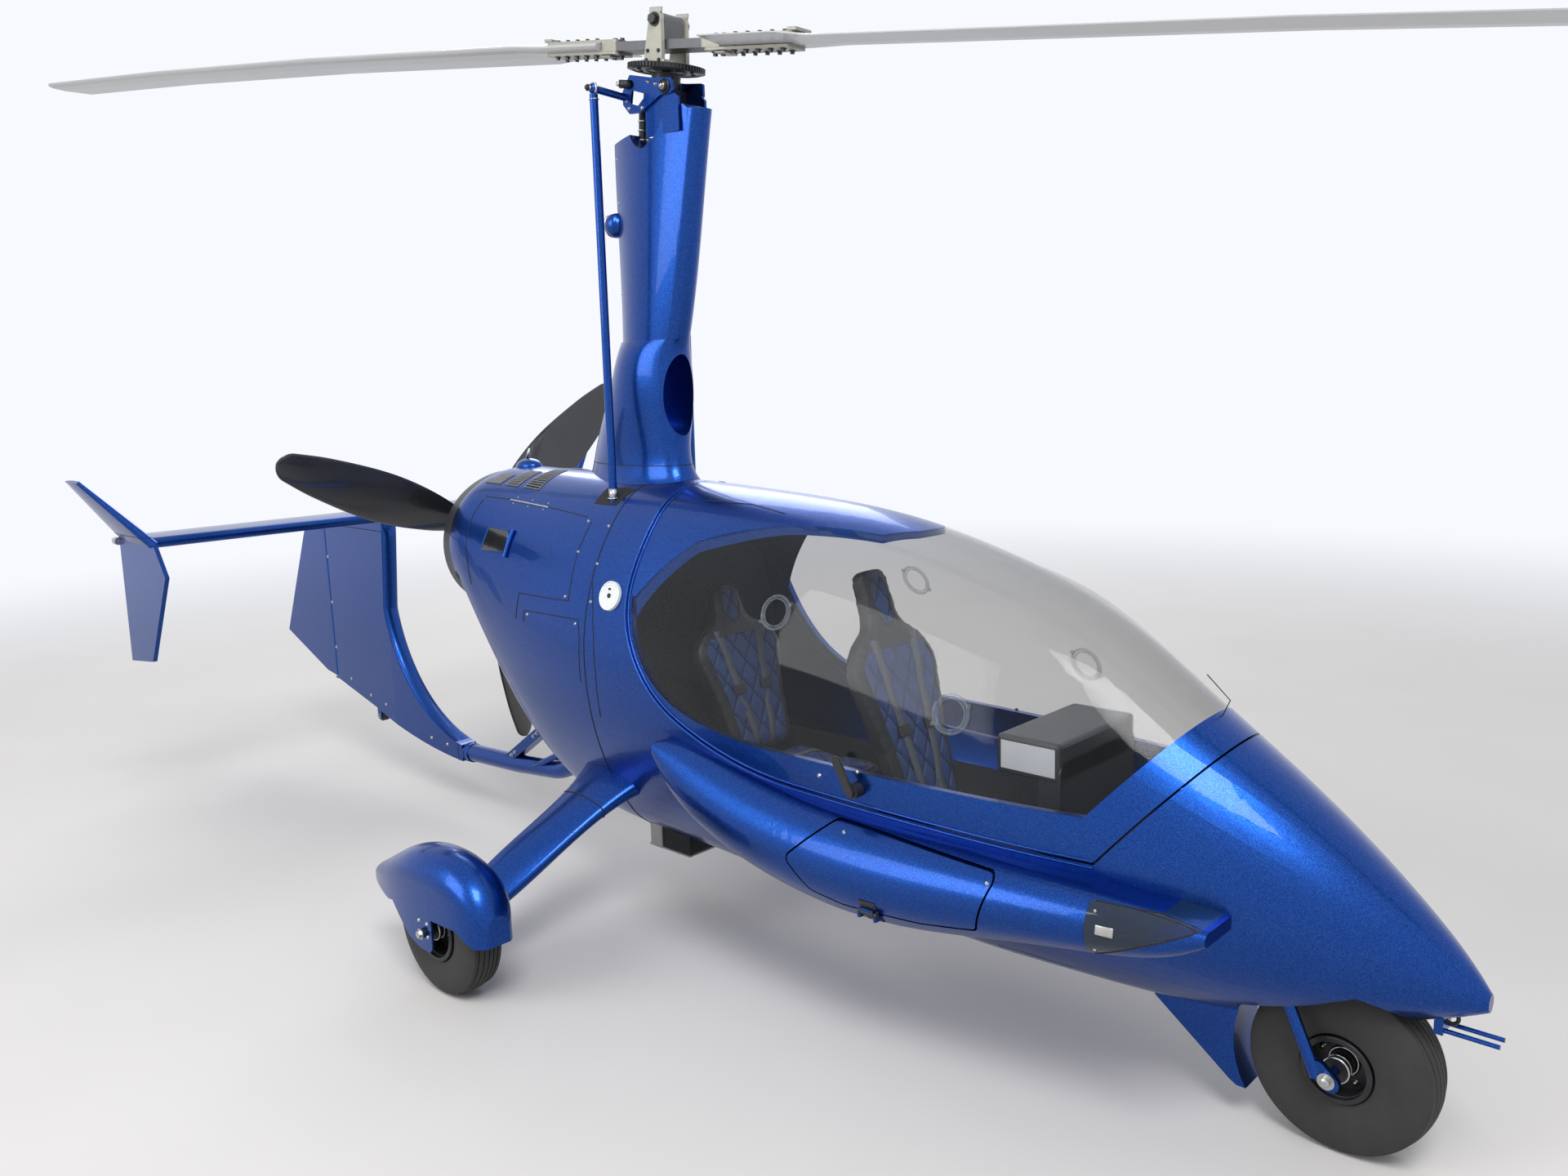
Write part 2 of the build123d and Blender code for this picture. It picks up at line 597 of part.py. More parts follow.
# Cabin floor
FLOOR_Z, FLOOR_THICK = 300.0, 10.0
FLOOR_FRONT_Y = -1830.0
PAD_Y, PAD_SIZE = -800.0, (300.0, 140.0, 4.0)     # raised plate between the seats
with BuildPart() as cabin_floor:
    add(liner)
    split(bisect_by=Plane(origin=(0, 0, FLOOR_Z), z_dir=(0, 0, -1)), keep=Keep.TOP)
    split(bisect_by=Plane(origin=(0, 0, FLOOR_Z - FLOOR_THICK), z_dir=(0, 0, 1)), keep=Keep.TOP)
    split(bisect_by=Plane(origin=(0, FLOOR_FRONT_Y, 0), z_dir=(0, 1, 0)), keep=Keep.TOP)
    split(bisect_by=Plane(origin=(0, ENGINE_BULKHEAD_Y - SEAT_GAP, 0), z_dir=(0, -1, 0)), keep=Keep.TOP)
    with Locations((0, PAD_Y, FLOOR_Z + PAD_SIZE[2] / 2)):
        Box(*PAD_SIZE)
write(cabin_floor.part, "cabin_floor")

# Seats: a back seen from the front, leaning aft, and a cushion
# name, hip y, seat height, back height, lean, width
SEATS = [
    ("front_seat", -960.0, 470.0, 760.0, 18.0, 400.0),
    ("rear_seat", -300.0, 560.0, 560.0, 18.0, 400.0),
]
SEAT_THICK = 62.0
SEAT_LENGTH = 380.0
for name, hip_y, hip_z, tall, lean, wide in SEATS:
    slant = math.radians(lean)
    back_plane = Plane(origin=(0, hip_y, hip_z), x_dir=(1, 0, 0), z_dir=(0, -math.cos(slant), math.sin(slant)))
    with BuildPart() as seat:
        with BuildSketch(back_plane):
            with BuildLine():
                half = wide / 2
                outline = [
                    (0.70 * half, 0),
                    (0.80 * half, 0.34 * tall),
                    (half, 0.62 * tall),
                    (0.78 * half, 0.72 * tall),
                    (0.40 * half, 0.78 * tall),
                    (0.30 * half, tall),
                ]
                Polyline(*outline, *[(-x, y) for x, y in reversed(outline)], close=True)
            make_face()
            fillet(vertices(), 18)
        extrude(amount=SEAT_THICK / 2, both=True)
        with Locations((0, hip_y - SEAT_LENGTH / 2 + 20, hip_z - 40)):
            Box(0.9 * wide, SEAT_LENGTH, 80)
        with Locations((0, hip_y - SEAT_LENGTH / 2 + 20, (hip_z - 80 + FLOOR_Z) / 2)):
            Box(0.62 * wide, 0.8 * SEAT_LENGTH, hip_z - 80 - FLOOR_Z)
    write(seat.part, name)

# Instrument box on a stalk and the control column
DASH_Y, DASH_Z, DASH_SIZE = -1430.0, 700.0, (360.0, 60.0, 200.0)
with BuildPart() as instrument_panel:
    with Locations((0, DASH_Y, DASH_Z)):
        Box(*DASH_SIZE)
    fillet(edges().filter_by(Axis.Y), 28)
    with Locations((0, DASH_Y + 10, (DASH_Z - DASH_SIZE[2] / 2 + FLOOR_Z) / 2)):
        Box(120, 30, DASH_Z - DASH_SIZE[2] / 2 - FLOOR_Z)
write(instrument_panel.part, "instrument_panel")

STICK_Y, STICK_TOP = -1365.0, 620.0
with BuildPart() as control_stick:
    with BuildSketch(Plane.XY.offset(FLOOR_Z)):
        with Locations((0, STICK_Y)):
            Circle(11)
    extrude(amount=STICK_TOP - FLOOR_Z)
    with BuildSketch(Plane.XY.offset(STICK_TOP - 120)):
        with Locations((0, STICK_Y)):
            Circle(17)
    extrude(amount=120)
write(control_stick.part, "control_stick")

# Fuel filler cap on the right side
CAP_Y, CAP_Z, CAP_RADIUS = -10.0, 1080.0, 46.0
with BuildPart() as fuel_cap:
    with BuildSketch(Plane.YZ.offset(-330)):
        with Locations((CAP_Y, CAP_Z)):
            Circle(CAP_RADIUS)
    extrude(amount=-44)
    add(hull_clear, mode=Mode.SUBTRACT)
write(fuel_cap.part, "fuel_cap")

# Radiator under the belly
RADIATOR_SIZE = (250.0, 185.0, 150.0)
RADIATOR_CENTRE = (0.0, 15.0, 279.0)
with BuildPart() as radiator:
    with Locations(RADIATOR_CENTRE):
        Box(*RADIATOR_SIZE)
    add(hull_clear, mode=Mode.SUBTRACT)
write(radiator.part, "radiator")

# Pitot rods under the nose
PITOT_LENGTH, PITOT_RADIUS = 112.0, 5.0
PITOT_Y, PITOT_Z = -2258.0, 348.0
with BuildPart() as pitot_rods:
    for x in (-18, 18):
        with BuildSketch(station_plane(PITOT_Y)):
            with Locations((x, PITOT_Z)):
                Circle(PITOT_RADIUS)
        extrude(amount=PITOT_LENGTH)
    with Locations((0, PITOT_Y, PITOT_Z + 12)):
        Box(56, 18, 40)
    add(hull_clear, mode=Mode.SUBTRACT)
write(pitot_rods.part, "pitot_rods")

# Gear legs: faired blades, swept through sections set across the leg
with BuildPart() as gear_leg:
    for x, front_y, front_z, rear_y, rear_z, thick in LEG:
        chord = Vector(0, rear_y - front_y, rear_z - front_z)
        with BuildSketch(Plane(origin=(-x, front_y, front_z), x_dir=chord, z_dir=(1, 0, 0))):
            make_face(foil_outline(0, chord.length, thick / 2, thick / 8))
    loft()
    add(hull_clear, mode=Mode.SUBTRACT)
both_sides(gear_leg.part, "gear_leg")

# Axle stub: a block on the leg's end and a pin through the wheel to the spat's bolt plate
LEG_END_X = LEG[-1][0]
PLATE_THICK = 6.0
PLATE_X = WHEEL_TRACK_HALF + SPAT_SIDE - PLATE_THICK
with BuildPart() as axle:
    with BuildSketch(Plane.YZ.offset(-LEG_END_X - SEAT_GAP)):
        with Locations((AXLE_Y, 218)):
            RectangleRounded(78, 96, 12)
    extrude(amount=-22)
    with BuildSketch(Plane.YZ.offset(-LEG_END_X)):
        with Locations((AXLE_Y, MAIN_WHEEL_RADIUS)):
            Circle(AXLE_RADIUS)
    extrude(amount=-(PLATE_X + PLATE_THICK + 10 - LEG_END_X))
both_sides(axle.part, "axle")


def wheel_section(radius, width, rim_radius):
    """Tyre section above the rim: flat sides and bevelled shoulders under a flat tread."""
    half, tall = width / 2, radius - rim_radius
    right = [(half, rim_radius), (half, rim_radius + SHOULDER_RISE * tall), (TREAD_SHARE * half, radius)]
    with BuildLine(Plane.XY) as outline:
        Polyline(*right, *[(-x, z) for x, z in reversed(right)], close=True)
    return outline.edges()


def rim_points(width, rim_radius, hub_radius, bore):
    """Half section of a rim: barrel under the tyre, web and hub."""
    half, deep = width / 2, rim_radius - RIM_WALL
    right = [(half, rim_radius), (half, deep), (WEB_HALF, deep), (WEB_HALF, hub_radius)]
    right += [(half, hub_radius), (half, bore)]
    return right + [(-x, z) for x, z in reversed(right)]


def tyre_part(centre, radius, width, rim_radius):
    with BuildPart() as tyre:
        with BuildSketch(Plane(origin=centre, x_dir=(1, 0, 0), z_dir=(0, -1, 0))):
            make_face(wheel_section(radius, width, rim_radius + SEAT_GAP))
        revolve(axis=Axis(centre, (1, 0, 0)))
    return tyre.part


def rim_part(centre, width, rim_radius, hub_radius, bore):
    with BuildPart() as rim:
        with BuildSketch(Plane(origin=centre, x_dir=(1, 0, 0), z_dir=(0, -1, 0))):
            with BuildLine():
                Polyline(*rim_points(width, rim_radius, hub_radius, bore), close=True)
            make_face()
        revolve(axis=Axis(centre, (1, 0, 0)))
    return rim.part


MAIN_CENTRE = (-WHEEL_TRACK_HALF, AXLE_Y, MAIN_WHEEL_RADIUS)
both_sides(tyre_part(MAIN_CENTRE, MAIN_WHEEL_RADIUS, MAIN_TYRE_WIDTH, RIM_RADIUS), "main_tyre")
main_rim = rim_part(MAIN_CENTRE, MAIN_TYRE_WIDTH, RIM_RADIUS, 30, AXLE_RADIUS + RUNNING_GAP)
both_sides(main_rim, "main_rim")

# Spats: thin domed shells open below, with a tongue down the outer face to the axle
def spat_loft(inset):
    with BuildPart() as body:
        for y, half, top in SPAT:
            half, top, y = half - inset, top - inset, y * (1 - inset / 200)
            with BuildSketch(station_plane(y)):
                with BuildLine():
                    left, right = -WHEEL_TRACK_HALF - half, -WHEEL_TRACK_HALF + half
                    Line((left, SPAT_LOW - inset), (left, top - half))
                    ThreePointArc((left, top - half), (-WHEEL_TRACK_HALF, top), (right, top - half))
                    Polyline((right, top - half), (right, SPAT_LOW - inset), (left, SPAT_LOW - inset))
                make_face()
        loft()
    return body.part


with BuildPart() as spat_edge:
    with BuildSketch(Plane.YZ.offset(-WHEEL_TRACK_HALF - 150)):
        with BuildLine():
            Polyline(*SPAT_EDGE, (560, 60), (-220, 60), close=True)
        make_face()
    extrude(amount=300)
    with BuildSketch(Plane.YZ.offset(-WHEEL_TRACK_HALF)):
        with BuildLine():
            Polyline(*SPAT_TONGUE, close=True)
        make_face()
    extrude(amount=-150, mode=Mode.SUBTRACT)
with BuildPart() as spat:
    add(spat_loft(0))
    add(spat_loft(SPAT_WALL), mode=Mode.SUBTRACT)
    add(spat_edge.part, mode=Mode.SUBTRACT)
    with BuildSketch(Plane.YZ.offset(-PLATE_X)):
        with Locations((AXLE_Y, MAIN_WHEEL_RADIUS + 22)):
            RectangleRounded(84, 134, 20)
    extrude(amount=-PLATE_THICK)
    with BuildSketch(Plane.YZ.offset(-PLATE_X)):
        with Locations((AXLE_Y, MAIN_WHEEL_RADIUS)):
            Circle(AXLE_RADIUS + SEAT_GAP)
    extrude(amount=-40, both=True, mode=Mode.SUBTRACT)
    with BuildSketch(Plane.YZ.offset(-LEG_END_X + 60)):
        with Locations((AXLE_Y, 240)):
            Rectangle(140, 130)
    extrude(amount=-100, mode=Mode.SUBTRACT)
both_sides(spat.part, "wheel_spat")

# Nose gear: fork, wheel and the fairing behind it
NOSE_CENTRE = (0, NOSE_AXLE_Y, NOSE_WHEEL_RADIUS)
CROWN_SIZE = (2 * FORK_X + 36, 46, 18)
FORK_DROP = 262.0
crown_plane = Plane(origin=STEER_TOP, x_dir=(1, 0, 0), z_dir=steer_axis.direction)
with BuildPart() as nose_fork:
    with BuildSketch(crown_plane.offset(-CROWN_SIZE[2] - 4)):
        RectangleRounded(CROWN_SIZE[0], CROWN_SIZE[1], 20)
    extrude(amount=CROWN_SIZE[2])
    with BuildSketch(crown_plane.offset(-6)):
        Circle(STEERER_RADIUS)
    extrude(amount=100)
    with BuildSketch(crown_plane.offset(-8)):
        with Locations((-FORK_X, 0), (FORK_X, 0)):
            Circle(FORK_TUBE_RADIUS)
    extrude(amount=-FORK_DROP)
    for side in (-1, 1):
        with BuildSketch(Plane.YZ.offset(side * (FORK_X - 7))):
            with Locations((NOSE_AXLE_Y + 8, NOSE_WHEEL_RADIUS + 6)):
                SlotOverall(76, 40, rotation=40)
        extrude(amount=side * 14)
    with BuildSketch(Plane.YZ.offset(-FORK_X - 22)):
        with Locations((NOSE_AXLE_Y, NOSE_WHEEL_RADIUS)):
            Circle(AXLE_RADIUS - 4)
    extrude(amount=2 * FORK_X + 44)
write(nose_fork.part, "nose_fork")
nose_tyre = tyre_part(NOSE_CENTRE, NOSE_WHEEL_RADIUS, NOSE_TYRE_WIDTH, NOSE_RIM_RADIUS)
write(nose_tyre, "nose_tyre")
nose_rim = rim_part(NOSE_CENTRE, NOSE_TYRE_WIDTH, NOSE_RIM_RADIUS, 27, AXLE_RADIUS - 4 + RUNNING_GAP)
write(nose_rim, "nose_rim")

FAIRING_OUTLINE = [(-1900, 300), (-1880, 84), (-1856, 84), (-1632, 216), (-1628, 300)]
FAIRING_FRONT_HALF, FAIRING_REAR_HALF = 66.0, 22.0
with BuildPart() as nose_fairing:
    with BuildSketch(Plane.YZ):
        with BuildLine():
            Polyline(*FAIRING_OUTLINE, close=True)
        make_face()
    extrude(amount=FAIRING_FRONT_HALF, both=True)
    with BuildSketch():
        with BuildLine():
            Polyline(
                (-FAIRING_FRONT_HALF, -1905), (FAIRING_FRONT_HALF, -1905), (FAIRING_FRONT_HALF, -1840),
                (FAIRING_REAR_HALF, -1620), (-FAIRING_REAR_HALF, -1620), (-FAIRING_FRONT_HALF, -1840), close=True
            )
        make_face()
    extrude(amount=400, mode=Mode.INTERSECT)
    with BuildSketch(Plane.YZ):
        with Locations((NOSE_AXLE_Y, NOSE_WHEEL_RADIUS)):
            Circle(NOSE_WHEEL_RADIUS + 24)
    extrude(amount=HULL_SPAN, both=True, mode=Mode.SUBTRACT)
    add(hull_clear, mode=Mode.SUBTRACT)
write(nose_fairing.part, "nose_fairing")

# Keel tube and its braces under the cowl
with BuildPart() as keel_tube:
    with BuildLine(Plane.YZ) as keel_line:
        FilletPolyline(*KEEL_PATH, radius=KEEL_BENDS)
    with BuildSketch(Plane(origin=keel_line.line @ 0, z_dir=keel_line.line % 0)):
        Circle(KEEL_RADIUS)
    sweep()
    keel_end = Plane(origin=keel_line.line @ 1, z_dir=keel_line.line % 1)
    with BuildSketch(keel_end):
        Circle(KEEL_RADIUS + 3)
    extrude(amount=-34)
    with BuildSketch(keel_end):
        Circle(KEEL_RADIUS - 7)
    extrude(amount=FIN_SPIGOT)
    add(hull_clear, mode=Mode.SUBTRACT)
write(keel_tube.part, "keel_tube")

BRACE_FEET = [(-30, 640, 1010), (30, 640, 1010)]
CHANNEL = [(812, 462), (1092, 272)]
with BuildPart() as keel_braces:
    for x, y, z in BRACE_FEET:
        foot = Vector(x * 0.9, y, 410)
        heel = Vector(x * 0.9, 905, 282)
        with BuildSketch(Plane(origin=foot, z_dir=heel - foot)):
            Circle(11)
        extrude(amount=(heel - foot).length)
    foot, heel = Vector(0, *CHANNEL[0]), Vector(0, *CHANNEL[1])
    with BuildSketch(Plane(origin=foot, x_dir=(1, 0, 0), z_dir=heel - foot)):
        Rectangle(46, 36)
        with Locations((0, -8)):
            Rectangle(34, 30, mode=Mode.SUBTRACT)
    extrude(amount=(heel - foot).length)
    add(keel_tube, mode=Mode.SUBTRACT)
    add(hull_clear, mode=Mode.SUBTRACT)
write(keel_braces.part, "keel_braces")

# Room for the stabiliser in the fin and the end plates
stab_plane = Plane(origin=(0, 0, STAB_Z), x_dir=(0, 1, 0), z_dir=(1, 0, 0))
with BuildPart() as stab_room:
    with BuildSketch(stab_plane):
        half = STAB_THICK / 2 + 2 * SEAT_GAP
        make_face(foil_outline(STAB_FRONT - 2 * SEAT_GAP, STAB_REAR + SEAT_GAP, half, 3 + SEAT_GAP))
    extrude(amount=STAB_HALF_SPAN - 8, both=True)

# Fin: a side outline whose thickness tapers aft
FIN_JOIN_Y = KEEL_PATH[-1][0]
FIN_REAR_Y = HINGE_LINE_Y - RUDDER_NOSE - 7
FIN_TOP = STAB_Z - STAB_THICK / 2
with BuildPart() as fin:
    with BuildSketch(Plane.YZ):
        with BuildLine():
            join_low, join_high = (FIN_JOIN_Y + 5, 210), (FIN_JOIN_Y + 5, 278)
            Line(join_low, join_high)
            ThreePointArc(join_high, (1780, 480), (1934, 780))
            Polyline((1934, 780), (1888, FIN_TOP), (2262, FIN_TOP), (2400, 1120), (FIN_REAR_Y, 1120))
            Line((FIN_REAR_Y, 1120), (FIN_REAR_Y, 402))
            Line((FIN_REAR_Y, 402), (2067, 322))
            ThreePointArc((2067, 322), (1740, 246), join_low)
        make_face()
    extrude(amount=FIN_HALF, both=True)
    with BuildSketch():
        with BuildLine():
            Polyline(
                (-FIN_HALF, 1300), (FIN_HALF, 1300), (FIN_HALF, 1900), (FIN_TAIL_HALF, 2500),
                (-FIN_TAIL_HALF, 2500), (-FIN_HALF, 1900), close=True
            )
        make_face()
    extrude(amount=1400, mode=Mode.INTERSECT)
    with BuildSketch(Plane.YZ):
        with BuildLine():
            Polyline(
                (1560, 300), (1900, 560), (1965, 800), (1930, 1140),
                (2240, 1140), (2400, 1090), (2400, 430), close=True
            )
        make_face()
    extrude(amount=FIN_TAIL_HALF - TAIL_WALL, both=True, mode=Mode.SUBTRACT)
    add(stab_room.part, mode=Mode.SUBTRACT)
    for side in (-1, 1):
        with BuildSketch(Plane.YZ.offset(side * (ROLLER_WIDTH / 2 + 5))):
            with Locations((ROLLER_Y, ROLLER_Z + 22)):
                SlotOverall(76, 30, rotation=90)
        extrude(amount=side * 4)
    with BuildSketch(Plane.YZ.offset(-ROLLER_WIDTH / 2 - 9)):
        with Locations((ROLLER_Y, ROLLER_Z)):
            Circle(ROLLER_PIN_RADIUS)
    extrude(amount=ROLLER_WIDTH + 18)
    for z in RUDDER_LUGS:
        with BuildSketch(Plane.XY.offset(z)):
            with Locations((0, (FIN_REAR_Y + HINGE_LINE_Y) / 2)):
                SlotOverall(HINGE_LINE_Y - FIN_REAR_Y + 4 * LUG_HALF, 2 * LUG_HALF, rotation=90)
        extrude(amount=LUG_THICK)
    with BuildSketch(Plane.XY.offset(RUDDER_LUGS[0])):
        with Locations((0, HINGE_LINE_Y)):
            Circle(RUDDER_PIN_RADIUS)
    extrude(amount=RUDDER_LUGS[1] - RUDDER_LUGS[0])
    with BuildSketch(keel_end):
        Circle(KEEL_RADIUS - 7 + SEAT_GAP)
    extrude(amount=FIN_SPIGOT + SEAT_GAP, mode=Mode.SUBTRACT)
write(fin.part, "fin")

RUDDER_OUTLINE = [(2450, 412), (2540, 425), (2926, 572), (2632, 1112), (2450, 1112)]
with BuildPart() as rudder:
    with BuildSketch(Plane.YZ):
        with BuildLine():
            Polyline(*RUDDER_OUTLINE, close=True)
        make_face()
    extrude(amount=RUDDER_NOSE, both=True)
    with BuildSketch():
        with BuildLine():
            Polyline(
                (-RUDDER_NOSE, 2440), (RUDDER_NOSE, 2440), (RUDDER_NOSE, 2460), (3, 2940),
                (-3, 2940), (-RUDDER_NOSE, 2460), close=True
            )
        make_face()
    extrude(amount=1400, mode=Mode.INTERSECT)
    with BuildSketch(Plane.XY.offset(RUDDER_LOW)):
        with Locations((0, HINGE_LINE_Y)):
            Circle(RUDDER_NOSE)
    extrude(amount=RUDDER_HIGH - 8 - RUDDER_LOW)
    with BuildSketch(Plane.XY.offset(RUDDER_LOW - 1)):
        with Locations((0, HINGE_LINE_Y)):
            Circle(RUDDER_PIN_RADIUS + RUNNING_GAP)
    extrude(amount=RUDDER_HIGH, mode=Mode.SUBTRACT)
write(rudder.part, "rudder")

with BuildPart() as tail_plane:
    with BuildSketch(stab_plane):
        make_face(foil_outline(STAB_FRONT, STAB_REAR, STAB_THICK / 2, 3))
    extrude(amount=STAB_HALF_SPAN - 8 - SEAT_GAP, both=True)
    with BuildSketch(stab_plane):
        make_face(foil_outline(STAB_FRONT + 10, STAB_REAR - 60, STAB_THICK / 2 - TAIL_WALL, 2))
    extrude(amount=STAB_HALF_SPAN, both=True, mode=Mode.SUBTRACT)
write(tail_plane.part, "stabiliser")

END_OUTLINE = [(1868, 1176), (1785, 1059), (2005, 717), (2221, 694), (2203, 1176)]
WINGLET = [(0, 1868, 2203, 13), (1, 1970, 2102, 7)]
WINGLET_TIP = (-1150.0, 1424.0)
with BuildPart() as end_plate:
    with BuildSketch(Plane.YZ.offset(-STAB_HALF_SPAN - 8)):
        with BuildLine():
            Polyline(*END_OUTLINE, close=True)
        make_face()
    extrude(amount=16)
    cant = math.atan2(STAB_HALF_SPAN + WINGLET_TIP[0], WINGLET_TIP[1] - STAB_Z)
    for share, front, rear, half in WINGLET:
        x = -STAB_HALF_SPAN + share * (WINGLET_TIP[0] + STAB_HALF_SPAN)
        z = STAB_Z - 6 + share * (WINGLET_TIP[1] - STAB_Z)
        plane = Plane(origin=(x, 0, z), x_dir=(0, 1, 0), z_dir=(math.sin(cant), 0, math.cos(cant)))
        with BuildSketch(plane):
            make_face(foil_outline(front, rear, half, 2))
    loft()
    add(stab_room.part, mode=Mode.SUBTRACT)
both_sides(end_plate.part, "end_plate")

with BuildPart() as tail_roller:
    with BuildSketch(Plane.YZ.offset(-ROLLER_WIDTH / 2)):
        with Locations((ROLLER_Y, ROLLER_Z)):
            Circle(ROLLER_RADIUS)
            Circle(ROLLER_PIN_RADIUS + RUNNING_GAP, mode=Mode.SUBTRACT)
    extrude(amount=ROLLER_WIDTH)
write(tail_roller.part, "tail_roller")

# Propeller
prop_axis = Axis((0, PROP_Y, PROP_Z), (0, 1, 0))
with BuildPart() as prop_hub:
    with BuildSketch(station_plane(PROP_Y - PROP_HUB_LENGTH / 2)):
        with Locations((0, PROP_Z)):
            Circle(PROP_HUB_RADIUS)
    extrude(amount=-PROP_HUB_LENGTH)
    with BuildSketch(station_plane(GEARBOX_REAR_Y + RUNNING_GAP)):
        with Locations((0, PROP_Z)):
            Circle(PROP_SHAFT_RADIUS)
    extrude(amount=-(PROP_Y - GEARBOX_REAR_Y - RUNNING_GAP))
write(prop_hub.part, "propeller_hub")

with BuildPart() as one_blade:
    for share, chord, thick, pitch in PROP_STATIONS:
        turn = math.radians(pitch)
        plane = Plane(
            origin=(0, PROP_Y, PROP_Z + share * PROP_RADIUS),
            x_dir=(math.cos(turn), -math.sin(turn), 0), z_dir=(0, 0, 1),
        )
        with BuildSketch(plane):
            make_face(blade_outline(chord, thick))
    loft(ruled=True)
    with BuildSketch(Plane.XY.offset(PROP_Z + 30)):
        with Locations((0, PROP_Y)):
            Circle(22)
    extrude(amount=0.12 * PROP_RADIUS)
    with BuildSketch(station_plane(PROP_Y - 100)):
        with Locations((0, PROP_Z)):
            Circle(PROP_HUB_RADIUS + SEAT_GAP)
    extrude(amount=-200, mode=Mode.SUBTRACT)
with BuildPart() as prop_blades:
    for angle in PROP_BLADE_ANGLES:
        add(one_blade.part.rotate(prop_axis, -angle))
write(prop_blades.part, "propeller_blades")

# Rotor frame: local x runs out along the blades, local z is the spindle
tilt, swing = math.radians(ROTOR_TILT), math.radians(ROTOR_AZIMUTH)
spindle = Vector(0, -math.sin(tilt), math.cos(tilt))
span = Vector(-math.sin(swing), math.cos(swing) * math.cos(tilt), math.cos(swing) * math.sin(tilt))
rotor_plane = Plane(origin=(0, 0, ROTOR_HUB_Z), x_dir=span, z_dir=spindle)

with BuildPart() as ring_gear:
    with BuildSketch(rotor_plane.offset(-RING_GEAR_DROP - RING_GEAR_THICK)):
        Circle(RING_GEAR_RADIUS)
        Circle(SPINDLE_RADIUS + RUNNING_GAP, mode=Mode.SUBTRACT)
        with PolarLocations(RING_GEAR_RADIUS, GEAR_TEETH):
            Rectangle(2 * TOOTH_DEPTH, TOOTH_GAP, mode=Mode.SUBTRACT)
    extrude(amount=RING_GEAR_THICK)
write(ring_gear.part, "ring_gear")

# Teeter tower: two tapered plates with round tops on a foot, and the teeter bolt across them
teeter_centre = rotor_plane.from_local_coords((0, 0, TEETER_RISE))
bolt_plane = Plane(origin=teeter_centre, x_dir=span, z_dir=rotor_plane.y_dir)
TOWER_SIDE = [(36, TEETER_RISE + RING_GEAR_DROP), (36, 100), (TOWER_ROUND, 0)]
with BuildPart() as teeter_tower:
    for side in (-1, 1):
        with BuildSketch(bolt_plane.offset(side * TOWER_HALF_GAP)):
            with BuildLine():
                Polyline(*TOWER_SIDE, *[(-x, z) for x, z in reversed(TOWER_SIDE)], close=True)
            make_face()
            Circle(TOWER_TOP - TEETER_RISE)
        extrude(amount=side * TOWER_PLATE)
    with BuildSketch(rotor_plane.offset(-RING_GEAR_DROP)):
        Rectangle(96, 2 * (TOWER_HALF_GAP + TOWER_PLATE))
    extrude(amount=12)
    with BuildSketch(bolt_plane):
        Circle(TEETER_BOLT_RADIUS)
    extrude(amount=TOWER_HALF_GAP + TOWER_PLATE + 14, both=True)
write(teeter_tower.part, "teeter_tower")

# Hub bar hung from the teeter bolt, with the strap plates that grip the blades
with BuildPart() as hub_bar:
    with BuildSketch(rotor_plane.offset(-HUB_BAR_THICK / 2)):
        Rectangle(2 * HUB_BAR_HALF, HUB_BAR_WIDTH)
    extrude(amount=HUB_BAR_THICK)
    with BuildSketch(bolt_plane):
        Circle(TEETER_EYE)
        with Locations((0, TEETER_RISE / 2)):
            Rectangle(2 * TEETER_EYE, TEETER_RISE)
    extrude(amount=HUB_BAR_WIDTH / 2, both=True)
    for level in (-HUB_BAR_THICK / 2 - STRAP_THICK, HUB_BAR_THICK / 2):
        with BuildSketch(rotor_plane.offset(level)):
            with Locations(((STRAP_START + STRAP_END) / 2, 0), (-(STRAP_START + STRAP_END) / 2, 0)):
                RectangleRounded(STRAP_END - STRAP_START, 78, 18)
        extrude(amount=STRAP_THICK)
    with BuildSketch(bolt_plane):
        Circle(TEETER_BOLT_RADIUS + RUNNING_GAP)
    extrude(amount=HUB_BAR_WIDTH, both=True, mode=Mode.SUBTRACT)
write(hub_bar.part, "hub_bar")

# Blades: flat between the straps, then pitched with the leading edge up
BLADE_START = HUB_BAR_HALF + 6
BLADE_SHARES = (0, 0.35, 0.7, 1)
with BuildPart() as rotor_blade:
    stations = [(BLADE_START, 0, 0), (STRAP_END + 15, 0, 0)] + [
        (BLADE_ROOT + share * (ROTOR_RADIUS - BLADE_ROOT), BLADE_DROOP * share**2, BLADE_PITCH)
        for share in BLADE_SHARES
    ]
    for out, drop, pitch in stations:
        turn = math.radians(pitch)
        origin = rotor_plane.from_local_coords((out, 0, -drop))
        chord = -(rotor_plane.y_dir * math.cos(turn) + spindle * math.sin(turn))
        with BuildSketch(Plane(origin=origin, x_dir=chord, z_dir=span)):
            make_face(blade_outline(BLADE_CHORD, BLADE_THICK - 2 * SEAT_GAP))
    loft(ruled=True)
with BuildPart() as rotor_blades:
    add(rotor_blade.part)
    add(rotor_blade.part.rotate(Axis(rotor_plane.origin, spindle), 180))
write(rotor_blades.part, "rotor_blades")

